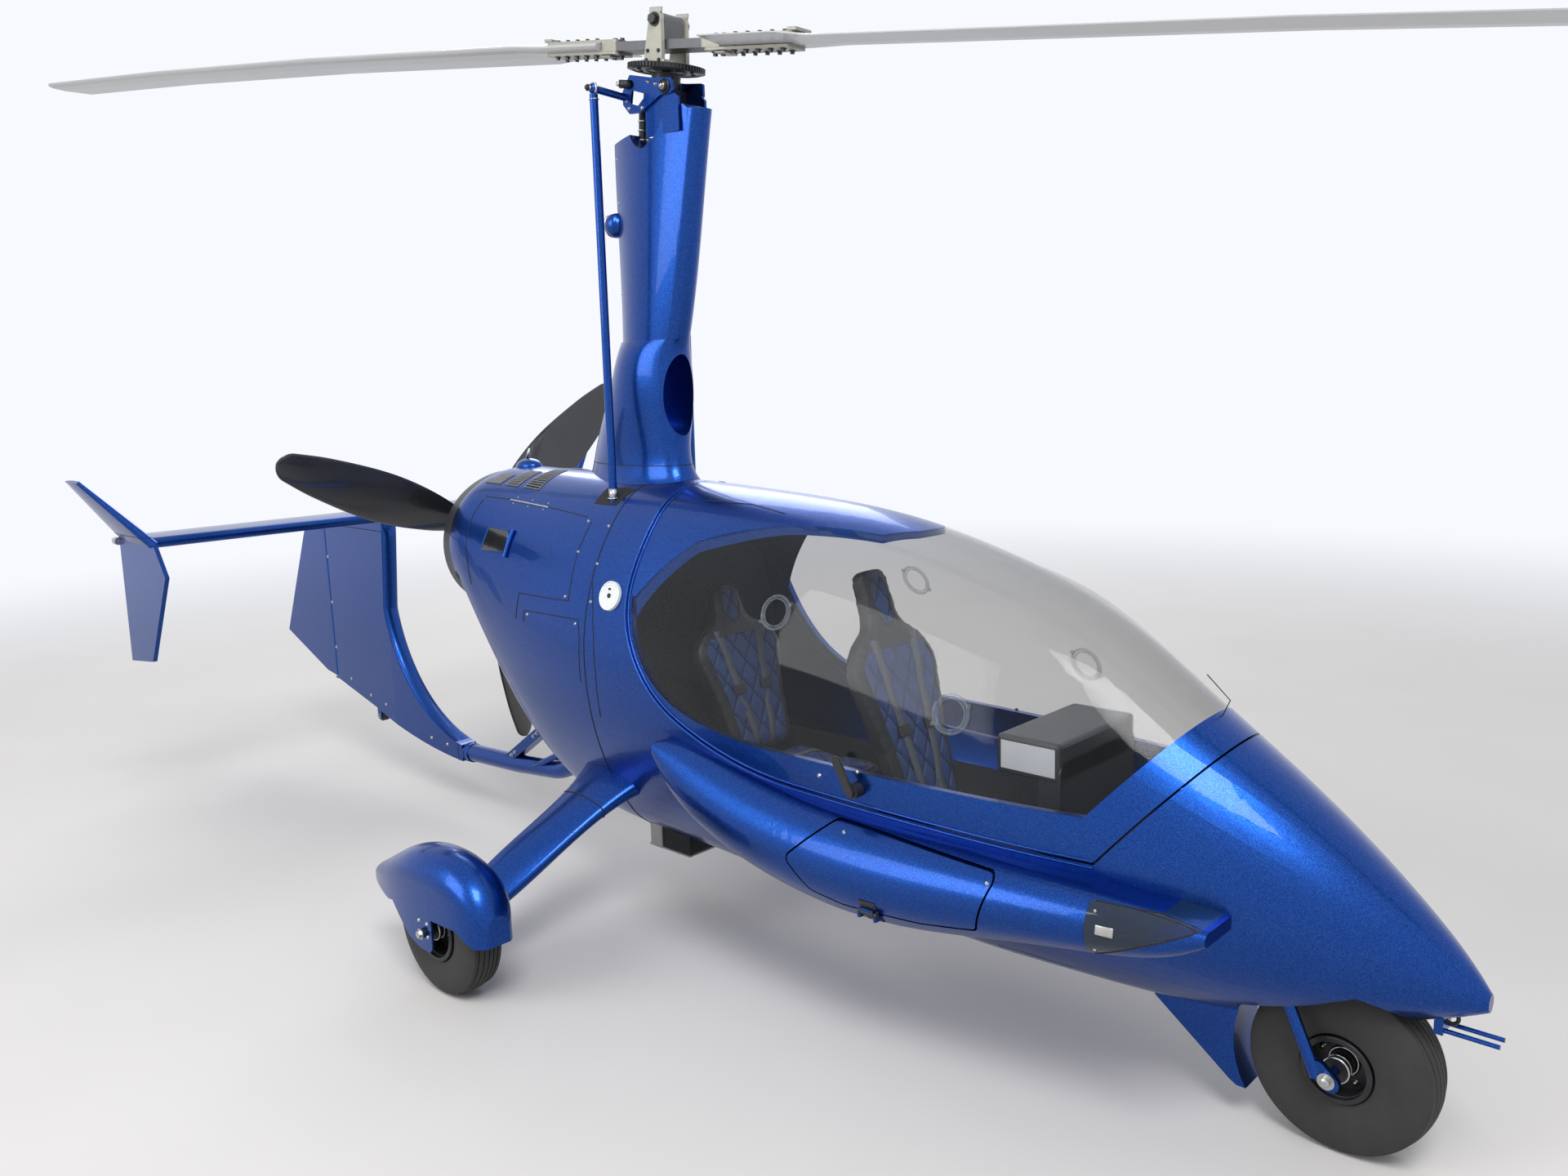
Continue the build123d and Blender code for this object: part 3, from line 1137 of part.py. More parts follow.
# Rotor head below the ring gear: spindle block, gimbal and the fork on the mast
HEAD_TOP = RING_GEAR_DROP + RING_GEAR_THICK + 6
FORK_INNER = 50.0
head_plane = Plane(origin=rotor_plane.origin, x_dir=(0, math.cos(tilt), math.sin(tilt)), z_dir=spindle)
with BuildPart() as gimbal_block:
    with BuildSketch(head_plane.offset(-HEAD_TOP)):
        Circle(44)
    extrude(amount=-46)
    with BuildSketch(head_plane.offset(-HEAD_TOP - 46)):
        Rectangle(84, 2 * (FORK_INNER - SEAT_GAP))
    extrude(amount=-34)
    with BuildSketch(head_plane.offset(-HEAD_TOP)):
        Circle(SPINDLE_RADIUS)
    extrude(amount=16)
write(gimbal_block.part, "gimbal_block")

FORK_OUTLINE = [(-98, 2440), (48, 2440), (48, 2548), (16, 2580), (-56, 2580), (-98, 2536)]
with BuildPart() as head_fork:
    for side in (-1, 1):
        with BuildSketch(Plane.YZ.offset(side * FORK_INNER)):
            with BuildLine():
                Polyline(*FORK_OUTLINE, close=True)
            make_face()
            fillet(vertices().group_by(Axis.Y)[-1], 12)
        extrude(amount=side * 8)
    add(mast, mode=Mode.SUBTRACT)
write(head_fork.part, "head_fork")

# Bell-crank plates outside the fork, with arms out to the pushrods
ROD_X, ROD_Y_TOP, ROD_TOP, ROD_Y_FOOT, ROD_FOOT = 170.0, 150.0, 2566.0, 160.0, 1330.0
ROD_RADIUS = 13.0
CRANK_INNER, CRANK_THICK = FORK_INNER + 8 + SEAT_GAP, 8.0
CRANK = [
    (-84, 2548), (-84, 2588), (-8, 2600), (104, 2628), (140, 2584),
    (140, 2546), (112, 2516), (62, 2512), (-30, 2548),
]
CRANK_SLOT = [(30, 2560), (96, 2582), (104, 2546), (70, 2534)]
with BuildPart() as pushrods:
    for side in (-1, 1):
        top = Vector(side * ROD_X, ROD_Y_TOP, ROD_TOP)
        foot = Vector(side * ROD_X, ROD_Y_FOOT, ROD_FOOT)
        with BuildSketch(Plane(origin=foot, z_dir=top - foot)):
            Circle(ROD_RADIUS)
        extrude(amount=(top - foot).length)
    add(hull_clear, mode=Mode.SUBTRACT)
write(pushrods.part, "pushrods")

with BuildPart() as control_arms:
    for side in (-1, 1):
        with BuildSketch(Plane.YZ.offset(side * CRANK_INNER)):
            with BuildLine():
                Polyline(*CRANK, close=True)
            make_face()
            fillet(vertices(), 7)
            with BuildLine():
                Polyline(*CRANK_SLOT, close=True)
            make_face(mode=Mode.SUBTRACT)
        extrude(amount=side * CRANK_THICK)
        root = Vector(side * (CRANK_INNER + 4), 122, 2564)
        joint = Vector(side * ROD_X, ROD_Y_TOP, ROD_TOP + 16 + SEAT_GAP)
        with BuildSketch(Plane(origin=root, z_dir=joint - root)):
            Circle(11)
        extrude(amount=(joint - root).length)
        with Locations(joint):
            Sphere(16)
    with BuildSketch(Plane.YZ.offset(-CRANK_INNER - 4)):
        with Locations((118, 2600)):
            Circle(9)
    extrude(amount=2 * CRANK_INNER + 8)
write(control_arms.part, "control_arms")

# Exhaust pipe from the engine block out through the cowl's belly
EXHAUST_START, EXHAUST_END = Vector(0, 600, 900), Vector(0, 931, 557)
EXHAUST_RADIUS, EXHAUST_WALL = 34.0, 5.0
with BuildPart() as exhaust:
    with BuildSketch(Plane(origin=EXHAUST_START, z_dir=EXHAUST_END - EXHAUST_START)):
        Circle(EXHAUST_RADIUS)
        Circle(EXHAUST_RADIUS - EXHAUST_WALL, mode=Mode.SUBTRACT)
    extrude(amount=(EXHAUST_END - EXHAUST_START).length)
    add(engine.part, mode=Mode.SUBTRACT)
    add(cowl_shell.part, mode=Mode.SUBTRACT)
write(exhaust.part, "exhaust")
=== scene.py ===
import math
import bmesh
import bpy
from mathutils import Matrix, Vector
from mathutils.bvhtree import BVHTree


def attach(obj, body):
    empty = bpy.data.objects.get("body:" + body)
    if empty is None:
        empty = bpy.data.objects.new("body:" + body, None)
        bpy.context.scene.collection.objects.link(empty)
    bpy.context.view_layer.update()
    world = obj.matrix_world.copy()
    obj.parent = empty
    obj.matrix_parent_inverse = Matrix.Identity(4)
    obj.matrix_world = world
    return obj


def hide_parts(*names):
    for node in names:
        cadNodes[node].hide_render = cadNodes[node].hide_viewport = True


# Gyrocopter looks. Metres, +X is the aircraft's left, +Y is aft, +Z is up.
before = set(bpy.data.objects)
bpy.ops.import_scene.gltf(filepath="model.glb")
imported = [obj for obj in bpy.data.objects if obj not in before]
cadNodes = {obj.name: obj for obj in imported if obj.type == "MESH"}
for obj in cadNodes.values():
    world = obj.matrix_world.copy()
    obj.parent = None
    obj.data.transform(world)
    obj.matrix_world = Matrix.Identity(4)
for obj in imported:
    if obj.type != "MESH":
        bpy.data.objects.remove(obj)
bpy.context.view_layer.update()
print("frame loaded")


# Shared tools for meshes

def newPiece(name, mesh, look, body="airframe", smooth=True):
    data = bpy.data.meshes.new(name)
    mesh.to_mesh(data)
    mesh.free()
    data.materials.append(finish[look])
    for face in data.polygons:
        face.use_smooth = smooth
    piece = bpy.data.objects.new(name, data)
    bpy.context.collection.objects.link(piece)
    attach(piece, body)
    return piece


def sharpen(piece, degrees=35):
    mesh = bmesh.new()
    mesh.from_mesh(piece.data)
    limit = math.radians(degrees)
    for edge in mesh.edges:
        edge.smooth = len(edge.link_faces) == 2 and edge.calc_face_angle(0) < limit
    mesh.to_mesh(piece.data)
    mesh.free()


def turnTo(direction):
    return Vector((0, 0, 1)).rotation_difference(Vector(direction).normalized()).to_matrix().to_4x4()


def along(start, end):
    return Matrix.Translation((Vector(start) + Vector(end)) / 2) @ turnTo(Vector(end) - Vector(start))


def addRod(mesh, start, end, radius, tip=None, sides=20):
    length = (Vector(end) - Vector(start)).length
    bmesh.ops.create_cone(mesh, cap_ends=True, segments=sides, radius1=radius,
                          radius2=radius if tip is None else tip, depth=length, matrix=along(start, end))


def addDisc(mesh, point, normal, radius, height, tip=None, sides=16):
    point, normal = Vector(point), Vector(normal).normalized()
    addRod(mesh, point - normal * height * 0.4, point + normal * height * 0.6, radius, tip, sides)


def addBlock(mesh, centre, size, turn=None, bevel=0.0):
    place = Matrix.Translation(centre) @ (turn or Matrix.Identity(4)) @ Matrix.Diagonal((*size, 1))
    made = bmesh.ops.create_cube(mesh, size=1, matrix=place)
    if bevel:
        edges = list({edge for vert in made["verts"] for edge in vert.link_edges})
        bmesh.ops.bevel(mesh, geom=edges, offset=bevel, segments=2, profile=0.5, affect="EDGES", material=-1)


def addRing(mesh, centre, normal, radius, thick, sides=40, around=10):
    local = bmesh.new()
    made = bmesh.ops.create_circle(local, radius=thick, segments=around,
                                   matrix=Matrix.Translation((radius, 0, 0)) @ Matrix.Rotation(math.pi / 2, 4, "X"))
    edges = list({edge for vert in made["verts"] for edge in vert.link_edges})
    bmesh.ops.spin(local, geom=edges, cent=(0, 0, 0), axis=(0, 0, 1), angle=math.tau, steps=sides, use_merge=True)
    bmesh.ops.remove_doubles(local, verts=local.verts, dist=1e-6)
    bmesh.ops.recalc_face_normals(local, faces=local.faces)
    bmesh.ops.transform(local, matrix=Matrix.Translation(centre) @ turnTo(normal), verts=local.verts)
    data = bpy.data.meshes.new("ringDraft")
    local.to_mesh(data)
    local.free()
    mesh.from_mesh(data)
    bpy.data.meshes.remove(data)


def treeOf(*meshes):
    joined = bmesh.new()
    for data in meshes:
        joined.from_mesh(data)
    tree = BVHTree.FromBMesh(joined)
    joined.free()
    return tree


def surfaceOf(*names):
    return treeOf(*(cadNodes[name].data for name in names))


def mergedCopy(*names):
    mesh = bmesh.new()
    for name in names:
        mesh.from_mesh(cadNodes[name].data)
    bmesh.ops.remove_doubles(mesh, verts=mesh.verts, dist=1e-5)
    return mesh


def cutPlane(mesh, point, normal):
    return bmesh.ops.bisect_plane(mesh, geom=mesh.verts[:] + mesh.edges[:] + mesh.faces[:], dist=1e-6,
                                  plane_co=point, plane_no=normal)["geom_cut"]


def faceOut(mesh, outward):
    bmesh.ops.recalc_face_normals(mesh, faces=mesh.faces)
    if sum(face.normal.dot(Vector(outward)) for face in mesh.faces) < 0:
        bmesh.ops.reverse_faces(mesh, faces=mesh.faces)


def fromSide(tree, side, y, z):
    point, normal, _, _ = tree.ray_cast(Vector((side * 2, y, z)), Vector((-side, 0, 0)))
    if point is not None and normal.x * side < 0:
        normal = -normal
    return point, normal


def spaced(points, step=0.02):
    path = [Vector(points[0])]
    for start, end in zip(points, points[1:]):
        start, end = Vector(start), Vector(end)
        count = max(1, round((end - start).length / step))
        path += [start.lerp(end, k / count) for k in range(1, count + 1)]
    return path


# Materials

def setInputs(node, values):
    for name, value in values.items():
        node.inputs[name].default_value = value


def addNode(nodes, kind, values=None, **settings):
    node = nodes.new("ShaderNode" + kind)
    for name, value in settings.items():
        setattr(node, name, value)
    setInputs(node, values or {})
    return node


def addNoise(nodes, links, place, scale, detail):
    noise = addNode(nodes, "TexNoise", {"Scale": scale, "Detail": detail})
    links.new(place, noise.inputs["Vector"])
    return noise.outputs["Fac"]


def addRange(nodes, links, source, values):
    ramp = addNode(nodes, "MapRange", values)
    links.new(source, ramp.inputs["Value"])
    return ramp.outputs["Result"]


def addMaths(nodes, links, operation, *sources):
    maths = addNode(nodes, "Math", operation=operation)
    for socket, source in zip(maths.inputs, sources):
        links.new(source, socket)
    return maths.outputs[0]


def mixColours(nodes, links, factor, over):
    mix = addNode(nodes, "Mix", data_type="RGBA")
    mix.inputs["B"].default_value = (*over, 1)
    links.new(factor, mix.inputs["Factor"])
    return mix.inputs["A"], mix.outputs["Result"]


def startMaterial(name):
    material = bpy.data.materials.new(name)
    material.use_nodes = True
    nodes = material.node_tree.nodes
    return material, nodes, material.node_tree.links, nodes["Principled BSDF"]


def makeMaterial(name, look):
    material, nodes, links, shader = startMaterial(name)
    setInputs(shader, {"Metallic": look.get("metallic", 0), "Coat Weight": look.get("coat", 0),
                       "Coat Roughness": look.get("coatRough", 0.03), "Coat IOR": look.get("coatIor", 1.5)})
    place = addNode(nodes, "TexCoord").outputs["Object"]
    broad = addNoise(nodes, links, place, look.get("scale", 6), look.get("detail", 3))
    base, colour = mixColours(nodes, links, broad, look["light"])
    base.default_value = (*look["dark"], 1)
    rough = addRange(nodes, links, broad, {"To Min": look["rough"][0], "To Max": look["rough"][1]})
    links.new(rough, shader.inputs["Roughness"])
    links.new(colour, shader.inputs["Base Color"])
    if look.get("grain"):
        bump = addNode(nodes, "Bump", {"Strength": look["bump"], "Distance": look["bumpDepth"]})
        links.new(addNoise(nodes, links, place, look["grain"], 2), bump.inputs["Height"])
        links.new(bump.outputs["Normal"], shader.inputs["Normal"])
    return material, nodes, links, shader, colour, place


def bluePaintMaterial():
    look = {"dark": (0.0010, 0.025, 0.190), "light": (0.0013, 0.034, 0.235), "rough": (0.28, 0.34), "metallic": 0.96,
            "coat": 0.42, "coatRough": 0.03, "coatIor": 1.36, "scale": 2.5, "detail": 1}
    flake = {"scale": 1500, "from": 0.55, "most": 0.5, "colour": (0.05, 0.24, 0.72)}
    material, nodes, links, shader, colour, place = makeMaterial("metallicBluePaint", look)
    cells = addNode(nodes, "TexVoronoi", {"Scale": flake["scale"]})
    links.new(place, cells.inputs["Vector"])
    part = addNode(nodes, "SeparateColor")
    links.new(cells.outputs["Color"], part.inputs["Color"])
    pick = addRange(nodes, links, part.outputs["Red"],
                    {"From Min": flake["from"], "From Max": 1.0, "To Max": flake["most"]})
    base, glint = mixColours(nodes, links, pick, flake["colour"])
    links.new(colour, base)
    links.new(glint, shader.inputs["Base Color"])
    return material


def hubBarMaterial():      # mid grey between the straps, cream on the straps
    strap = {"From Min": 0.172, "From Max": 0.178}      # where the straps begin, from the hub's middle
    material, nodes, links, shader, colour, place = makeMaterial("hubBarMetal", plainLooks["hubBarGrey"])
    split = addNode(nodes, "SeparateXYZ")
    links.new(place, split.inputs["Vector"])
    reach = addRange(nodes, links, addMaths(nodes, links, "ABSOLUTE", split.outputs["Y"]), strap)
    base, outer = mixColours(nodes, links, reach, plainLooks["towerCream"]["dark"])
    links.new(colour, base)
    links.new(outer, shader.inputs["Base Color"])
    return material


def glassMaterial(name, tint, alpha):       # alpha facing the eye, then edge on
    film = {"blend": 0.22, "coatIor": 1.6, "coatRough": 0.01, "smear": (4.0, 6.0), "rough": (0.02, 0.09)}
    material, nodes, links, shader = startMaterial(name)
    setInputs(shader, {"Base Color": (*tint, 1), "Coat Weight": 1.0, "Coat Roughness": film["coatRough"],
                       "Coat IOR": film["coatIor"]})
    facing = addNode(nodes, "LayerWeight", {"Blend": film["blend"]}).outputs["Facing"]
    links.new(addRange(nodes, links, facing, {"To Min": alpha[0], "To Max": alpha[1]}), shader.inputs["Alpha"])
    smear = addNoise(nodes, links, addNode(nodes, "TexCoord").outputs["Object"], *film["smear"])
    rough = addRange(nodes, links, smear, {"To Min": film["rough"][0], "To Max": film["rough"][1]})
    links.new(rough, shader.inputs["Roughness"])
    return material


plainLooks = {
    "blackPlastic": {"dark": (0.008, 0.008, 0.009), "light": (0.018, 0.018, 0.02), "rough": (0.42, 0.55),
                     "scale": 30, "grain": 900, "bump": 0.15, "bumpDepth": 0.0004},
    "darkGreyPlastic": {"dark": (0.018, 0.019, 0.021), "light": (0.032, 0.033, 0.036), "rough": (0.3, 0.45),
                        "scale": 18, "grain": 700, "bump": 0.1, "bumpDepth": 0.0004},
    "cabinLining": {"dark": (0.008, 0.009, 0.011), "light": (0.018, 0.019, 0.023), "rough": (0.85, 0.95),
                    "scale": 60, "grain": 260, "bump": 0.08, "bumpDepth": 0.0005},
    "carbonBlade": {"dark": (0.010, 0.011, 0.013), "light": (0.020, 0.021, 0.024), "rough": (0.16, 0.26),
                    "scale": 12, "coat": 0.6},
    "rotorWhite": {"dark": (0.37, 0.37, 0.365), "light": (0.45, 0.45, 0.445), "rough": (0.30, 0.44),
                   "scale": 5, "coat": 0.2},
    "bareAluminium": {"dark": (0.27, 0.265, 0.24), "light": (0.38, 0.37, 0.33), "rough": (0.38, 0.54),
                      "metallic": 0.6, "scale": 40, "grain": 320, "bump": 0.06, "bumpDepth": 0.0003},
    "towerCream": {"dark": (0.33, 0.32, 0.27), "light": (0.42, 0.41, 0.35), "rough": (0.42, 0.55),
                   "metallic": 0.25, "scale": 30, "grain": 260, "bump": 0.08, "bumpDepth": 0.0003},
    "hubBarGrey": {"dark": (0.10, 0.102, 0.108), "light": (0.15, 0.153, 0.16), "rough": (0.4, 0.55),
                   "metallic": 0.5, "scale": 30, "grain": 260, "bump": 0.08, "bumpDepth": 0.0003},
    "darkAluminium": {"dark": (0.020, 0.021, 0.023), "light": (0.045, 0.046, 0.05), "rough": (0.35, 0.5),
                      "metallic": 0.6, "scale": 30, "grain": 300, "bump": 0.1, "bumpDepth": 0.0003},
    "brightSteel": {"dark": (0.40, 0.40, 0.39), "light": (0.56, 0.56, 0.55), "rough": (0.2, 0.34),
                    "metallic": 1.0, "scale": 60},
    "tyreRubber": {"dark": (0.017, 0.0165, 0.016), "light": (0.040, 0.038, 0.036), "rough": (0.72, 0.9),
                   "scale": 25, "grain": 260, "bump": 0.25, "bumpDepth": 0.0008},
    "whitePlastic": {"dark": (0.66, 0.68, 0.68), "light": (0.76, 0.77, 0.77), "rough": (0.3, 0.4), "scale": 20},
    "beltGrey": {"dark": (0.07, 0.08, 0.10), "light": (0.12, 0.13, 0.155), "rough": (0.8, 0.9),
                 "scale": 60, "grain": 1400, "bump": 0.4, "bumpDepth": 0.0005},
    "seamShadow": {"dark": (0.002, 0.002, 0.003), "light": (0.004, 0.004, 0.006), "rough": (0.7, 0.85), "scale": 20},
    "smokedPanel": {"dark": (0.004, 0.005, 0.007), "light": (0.010, 0.011, 0.014), "rough": (0.12, 0.2), "scale": 8,
                    "coat": 0.8},
    "vaneGrey": {"dark": (0.10, 0.105, 0.115), "light": (0.20, 0.205, 0.22), "rough": (0.4, 0.55), "scale": 40},
    "hubSilver": {"dark": (0.40, 0.40, 0.39), "light": (0.56, 0.56, 0.55), "rough": (0.2, 0.34), "metallic": 1.0,
                  "scale": 50},
    "darkSteel": {"dark": (0.030, 0.031, 0.034), "light": (0.075, 0.077, 0.083), "rough": (0.3, 0.45),
                  "metallic": 0.8, "scale": 60},
    "tankGrey": {"dark": (0.26, 0.26, 0.26), "light": (0.36, 0.36, 0.36), "rough": (0.35, 0.5), "metallic": 0.8,
                 "scale": 30, "grain": 200, "bump": 0.05, "bumpDepth": 0.0004},
    "cardWhite": {"dark": (0.55, 0.57, 0.60), "light": (0.64, 0.66, 0.68), "rough": (0.5, 0.65), "scale": 14},
    "blackLeather": {"dark": (0.010, 0.010, 0.012), "light": (0.022, 0.022, 0.026), "rough": (0.42, 0.55),
                     "scale": 40, "grain": 420, "bump": 0.35, "bumpDepth": 0.0006},
    "blueQuilt": {"dark": (0.014, 0.036, 0.13), "light": (0.026, 0.060, 0.20), "rough": (0.5, 0.62),
                  "scale": 50, "grain": 620, "bump": 0.35, "bumpDepth": 0.0006},
    "lampBlue": {"dark": (0.010, 0.10, 0.42), "light": (0.018, 0.15, 0.55), "rough": (0.06, 0.1), "scale": 10,
                 "coat": 1.0},
    # darker blue for the quilt grooves: painted shade in the creases
    "quiltGrooveShade": {"dark": (0.003, 0.010, 0.045), "light": (0.005, 0.015, 0.065), "rough": (0.6, 0.7), "scale": 50},
    "floorPale": {"dark": (0.62, 0.60, 0.58), "light": (0.68, 0.66, 0.64), "rough": (0.75, 0.9), "scale": 1.4},
}
finish = {name: makeMaterial(name, look)[0] for name, look in plainLooks.items()}
finish["bluePaint"] = bluePaintMaterial()
finish["hubBarMetal"] = hubBarMaterial()
finish["canopyGlass"] = glassMaterial("canopyGlass", (0.014, 0.020, 0.024), (0.075, 0.50))
finish["lensClear"] = glassMaterial("lensClear", (0.20, 0.24, 0.28), (0.16, 0.55))
finish["lensTinted"] = glassMaterial("lensTinted", (0.012, 0.030, 0.065), (0.42, 0.80))
print("materials made")


# Finishes of the CAD nodes, also of those that a finer piece stands for

nodeFinish = {
    "bluePaint": ("fuselage", "engine_cowl", "canopy_frame", "side_pod_right", "side_pod_left", "locker_lid_right",
                  "locker_lid_left", "mast", "mast_scoop", "gear_leg_right", "gear_leg_left", "wheel_spat_right",
                  "wheel_spat_left", "nose_fork", "nose_fairing", "keel_tube", "fin", "rudder", "stabiliser",
                  "end_plate_right", "end_plate_left", "pushrods", "control_arms", "pitot_rods", "head_fork",
                  "keel_braces", "mast_lamp"),
    "canopyGlass": ("canopy_glass",),
    "lensClear": ("pod_lens_right", "pod_lens_left"),
    "blackPlastic": ("canopy_latch", "control_stick", "canopy_hinges"),
    "darkGreyPlastic": ("cowl_ring", "instrument_panel", "engine"),
    "cabinLining": ("bulkhead", "cabin_floor", "front_seat", "rear_seat"),
    "carbonBlade": ("propeller_blades",),
    "rotorWhite": ("rotor_blades",),
    "bareAluminium": ("propeller_hub",),
    "towerCream": ("teeter_tower",),
    "hubBarMetal": ("hub_bar",),
    "darkAluminium": ("radiator", "axle_right", "axle_left", "main_rim_right", "main_rim_left", "nose_rim",
                      "ring_gear", "gimbal_block"),
    "brightSteel": ("exhaust",),
    "tyreRubber": ("main_tyre_right", "main_tyre_left", "nose_tyre", "tail_roller"),
    "whitePlastic": ("fuel_cap",),
}
for finishName, names in nodeFinish.items():
    for name in names:
        node = cadNodes[name]
        for slot in node.material_slots:
            slot.material = finish[finishName]
print("CAD nodes painted")


# Lines, screws and patches that follow the CAD surfaces

airframeSkin = surfaceOf("fuselage", "engine_cowl", "mast_scoop")
canopySkin = surfaceOf("canopy_frame", "canopy_glass")
sideNames = {-1: "Right", 1: "Left"}
lidBody = {-1: "right_lid", 1: "left_lid"}


def fromAbove(tree, x, y, top=3.0):
    point, normal, _, _ = tree.ray_cast(Vector((x, y, top)), Vector((0, 0, -1)))
    if point is not None and normal.z < 0:
        normal = -normal
    return point, normal


def standOn(point, normal, run=(0, 1, 0)):      # local x along the run, local z out of the surface
    out = Vector(normal).normalized()
    side = out.cross(Vector(run)).normalized()
    return Matrix.Translation(point) @ Matrix((side.cross(out), side, out)).transposed().to_4x4()


def addScrew(mesh, point, normal, radius=0.0045, sides=14):
    turn = standOn(point, normal, (0.3, 1, 0.2))
    bmesh.ops.create_cone(mesh, cap_ends=True, segments=sides, radius1=radius, radius2=radius * 0.62,
                          depth=radius * 0.6, matrix=turn @ Matrix.Translation((0, 0, radius * 0.22)))
    bmesh.ops.create_cone(mesh, cap_ends=True, segments=6, radius1=radius * 0.28, radius2=radius * 0.34,
                          depth=radius * 0.2, matrix=turn @ Matrix.Translation((0, 0, radius * 0.50)))


def addNut(mesh, point, normal, radius, height, sides=6):
    turn = standOn(point, normal, (0.2, 1, 0.3))
    bmesh.ops.create_cone(mesh, cap_ends=True, segments=24, radius1=radius * 1.3, radius2=radius * 1.3,
                          depth=height * 0.24, matrix=turn @ Matrix.Translation((0, 0, height * 0.12)))
    bmesh.ops.create_cone(mesh, cap_ends=True, segments=sides, radius1=radius, radius2=radius * 0.96,
                          depth=height * 0.8, matrix=turn @ Matrix.Translation((0, 0, height * 0.6)))


def tubeSet(name, runs, radius, look, body="airframe", closed=False, around=3):
    curve = bpy.data.curves.new(name, "CURVE")
    curve.dimensions = "3D"
    for run in runs:
        spline = curve.splines.new("POLY")
        spline.points.add(len(run) - 1)
        for spot, point in zip(spline.points, run):
            spot.co = (*point, 1)
        spline.use_cyclic_u = closed
    curve.bevel_depth = radius
    curve.bevel_resolution = around
    curve.use_fill_caps = not closed
    draft = bpy.data.objects.new(name, curve)
    bpy.context.collection.objects.link(draft)
    bpy.context.view_layer.update()
    data = bpy.data.meshes.new_from_object(draft.evaluated_get(bpy.context.evaluated_depsgraph_get()))
    bpy.data.objects.remove(draft)
    mesh = bmesh.new()
    mesh.from_mesh(data)
    bpy.data.meshes.remove(data)
    return newPiece(name, mesh, look, body)


def screwRow(mesh, tree, side, spots, radius, sides=14):
    for y, z in spots:
        point, normal = fromSide(tree, side, y, z)
        if point is not None:
            addScrew(mesh, point, normal, radius, sides)


def onSide(tree, side, points, lift=0.0, step=0.012):
    path = []
    for y, z in spaced(points, step):
        point, normal = fromSide(tree, side, y, z)
        if point is not None and abs(point.x) > 0.02:
            path.append(point + normal * lift)
    return path


def cutRuns(nodeName, point, normal):     # where a plane cuts a node
    mesh = mergedCopy(nodeName)
    cut = dict.fromkeys(part for part in cutPlane(mesh, point, normal) if isinstance(part, bmesh.types.BMEdge))
    runs = []
    while cut:
        edge = next(iter(cut))
        cut.pop(edge)
        run = [edge.verts[0], edge.verts[1]]
        for end in range(2):
            following = edge
            while following is not None:
                following = next((near for near in run[-1].link_edges if near in cut), None)
                if following is not None:
                    cut.pop(following)
                    run.append(following.other_vert(run[-1]))
            run.reverse()
        spots = [vert.co.copy() for vert in run]
        spots = [spot for k, spot in enumerate(spots) if k == 0 or (spot - spots[k - 1]).length > 1e-5]
        if len(spots) > 2:
            runs.append(spots)
    mesh.free()
    return runs


# A sheet between four corners, laid on a surface by a function that lands each of its points
def addPatch(name, corners, land, outward, lift, look, across=8, deep=8):
    mesh = bmesh.new()
    made = bmesh.ops.create_grid(mesh, x_segments=across, y_segments=deep, size=0.5)
    start, right, far, left = [Vector(corner) for corner in corners]
    for vert in made["verts"]:
        u, v = vert.co.x + 0.5, vert.co.y + 0.5
        point, normal = land(*start.lerp(right, u).lerp(left.lerp(far, u), v))
        vert.co = point + normal * lift
    faceOut(mesh, outward)
    return newPiece(name, mesh, look, "airframe")


def patchFromAbove(name, corners, lift):
    return addPatch(name, corners, lambda x, y: fromAbove(airframeSkin, x, y), (0, 0, 1), lift, "seamShadow",
                    14, 6)


def runFromAbove(start, end, steps, lift):
    run = []
    for step in range(steps + 1):
        spot = start.lerp(end, step / steps)
        point, normal = fromAbove(airframeSkin, spot.x, spot.y)
        run.append(point + normal * lift)
    return run


# Engine cowl: panel seams, screws, hinge, louvres and the side window

cowl = {
    "seams": [
        [(0.805, 1.336), (0.788, 1.334), (0.666, 1.329), (0.447, 1.314), (0.230, 1.295)],
        [(0.197, 1.281), (0.200, 1.233), (0.203, 1.194), (0.196, 1.128), (0.190, 1.046)],
        [(0.190, 1.046), (0.320, 1.044), (0.462, 1.045), (0.472, 0.999), (0.482, 0.957)],
        [(0.433, 0.952), (0.430, 0.991), (0.268, 0.994), (0.131, 0.995), (0.120, 0.942), (0.125, 0.80)],
        [(0.805, 1.323), (0.811, 1.268), (0.807, 1.201), (0.796, 1.12), (0.78, 1.04)],
        [(0.096, 1.120), (0.084, 1.097), (0.064, 1.031), (0.048, 0.951), (0.040, 0.84), (0.045, 0.70)],
    ],
    "seamRadius": 0.0017, "screwRadius": 0.0052, "rivetRadius": 0.0028, "hingeRadius": 0.0030, "windowEdge": 0.0026,
    "lipRadius": 0.0085, "splitRadius": 0.0018,
    "screws": [(0.215, 1.284), (0.201, 1.194), (0.210, 1.058), (0.410, 0.980), (0.144, 0.981),
               (0.108, 1.275), (0.092, 1.166), (0.080, 1.055)],
    "rivets": [(0.641, 1.336), (0.556, 1.331), (0.466, 1.325), (0.644, 1.318), (0.560, 1.312), (0.472, 1.306)],
    "hinge": [(0.666, 1.327), (0.447, 1.312)],
    "splitY": 0.0957,
    "window": [(0.702, 1.242), (0.589, 1.232), (0.578, 1.166), (0.714, 1.161)],
    "lip": [(0.566, 1.236), (0.568, 1.150)],
}
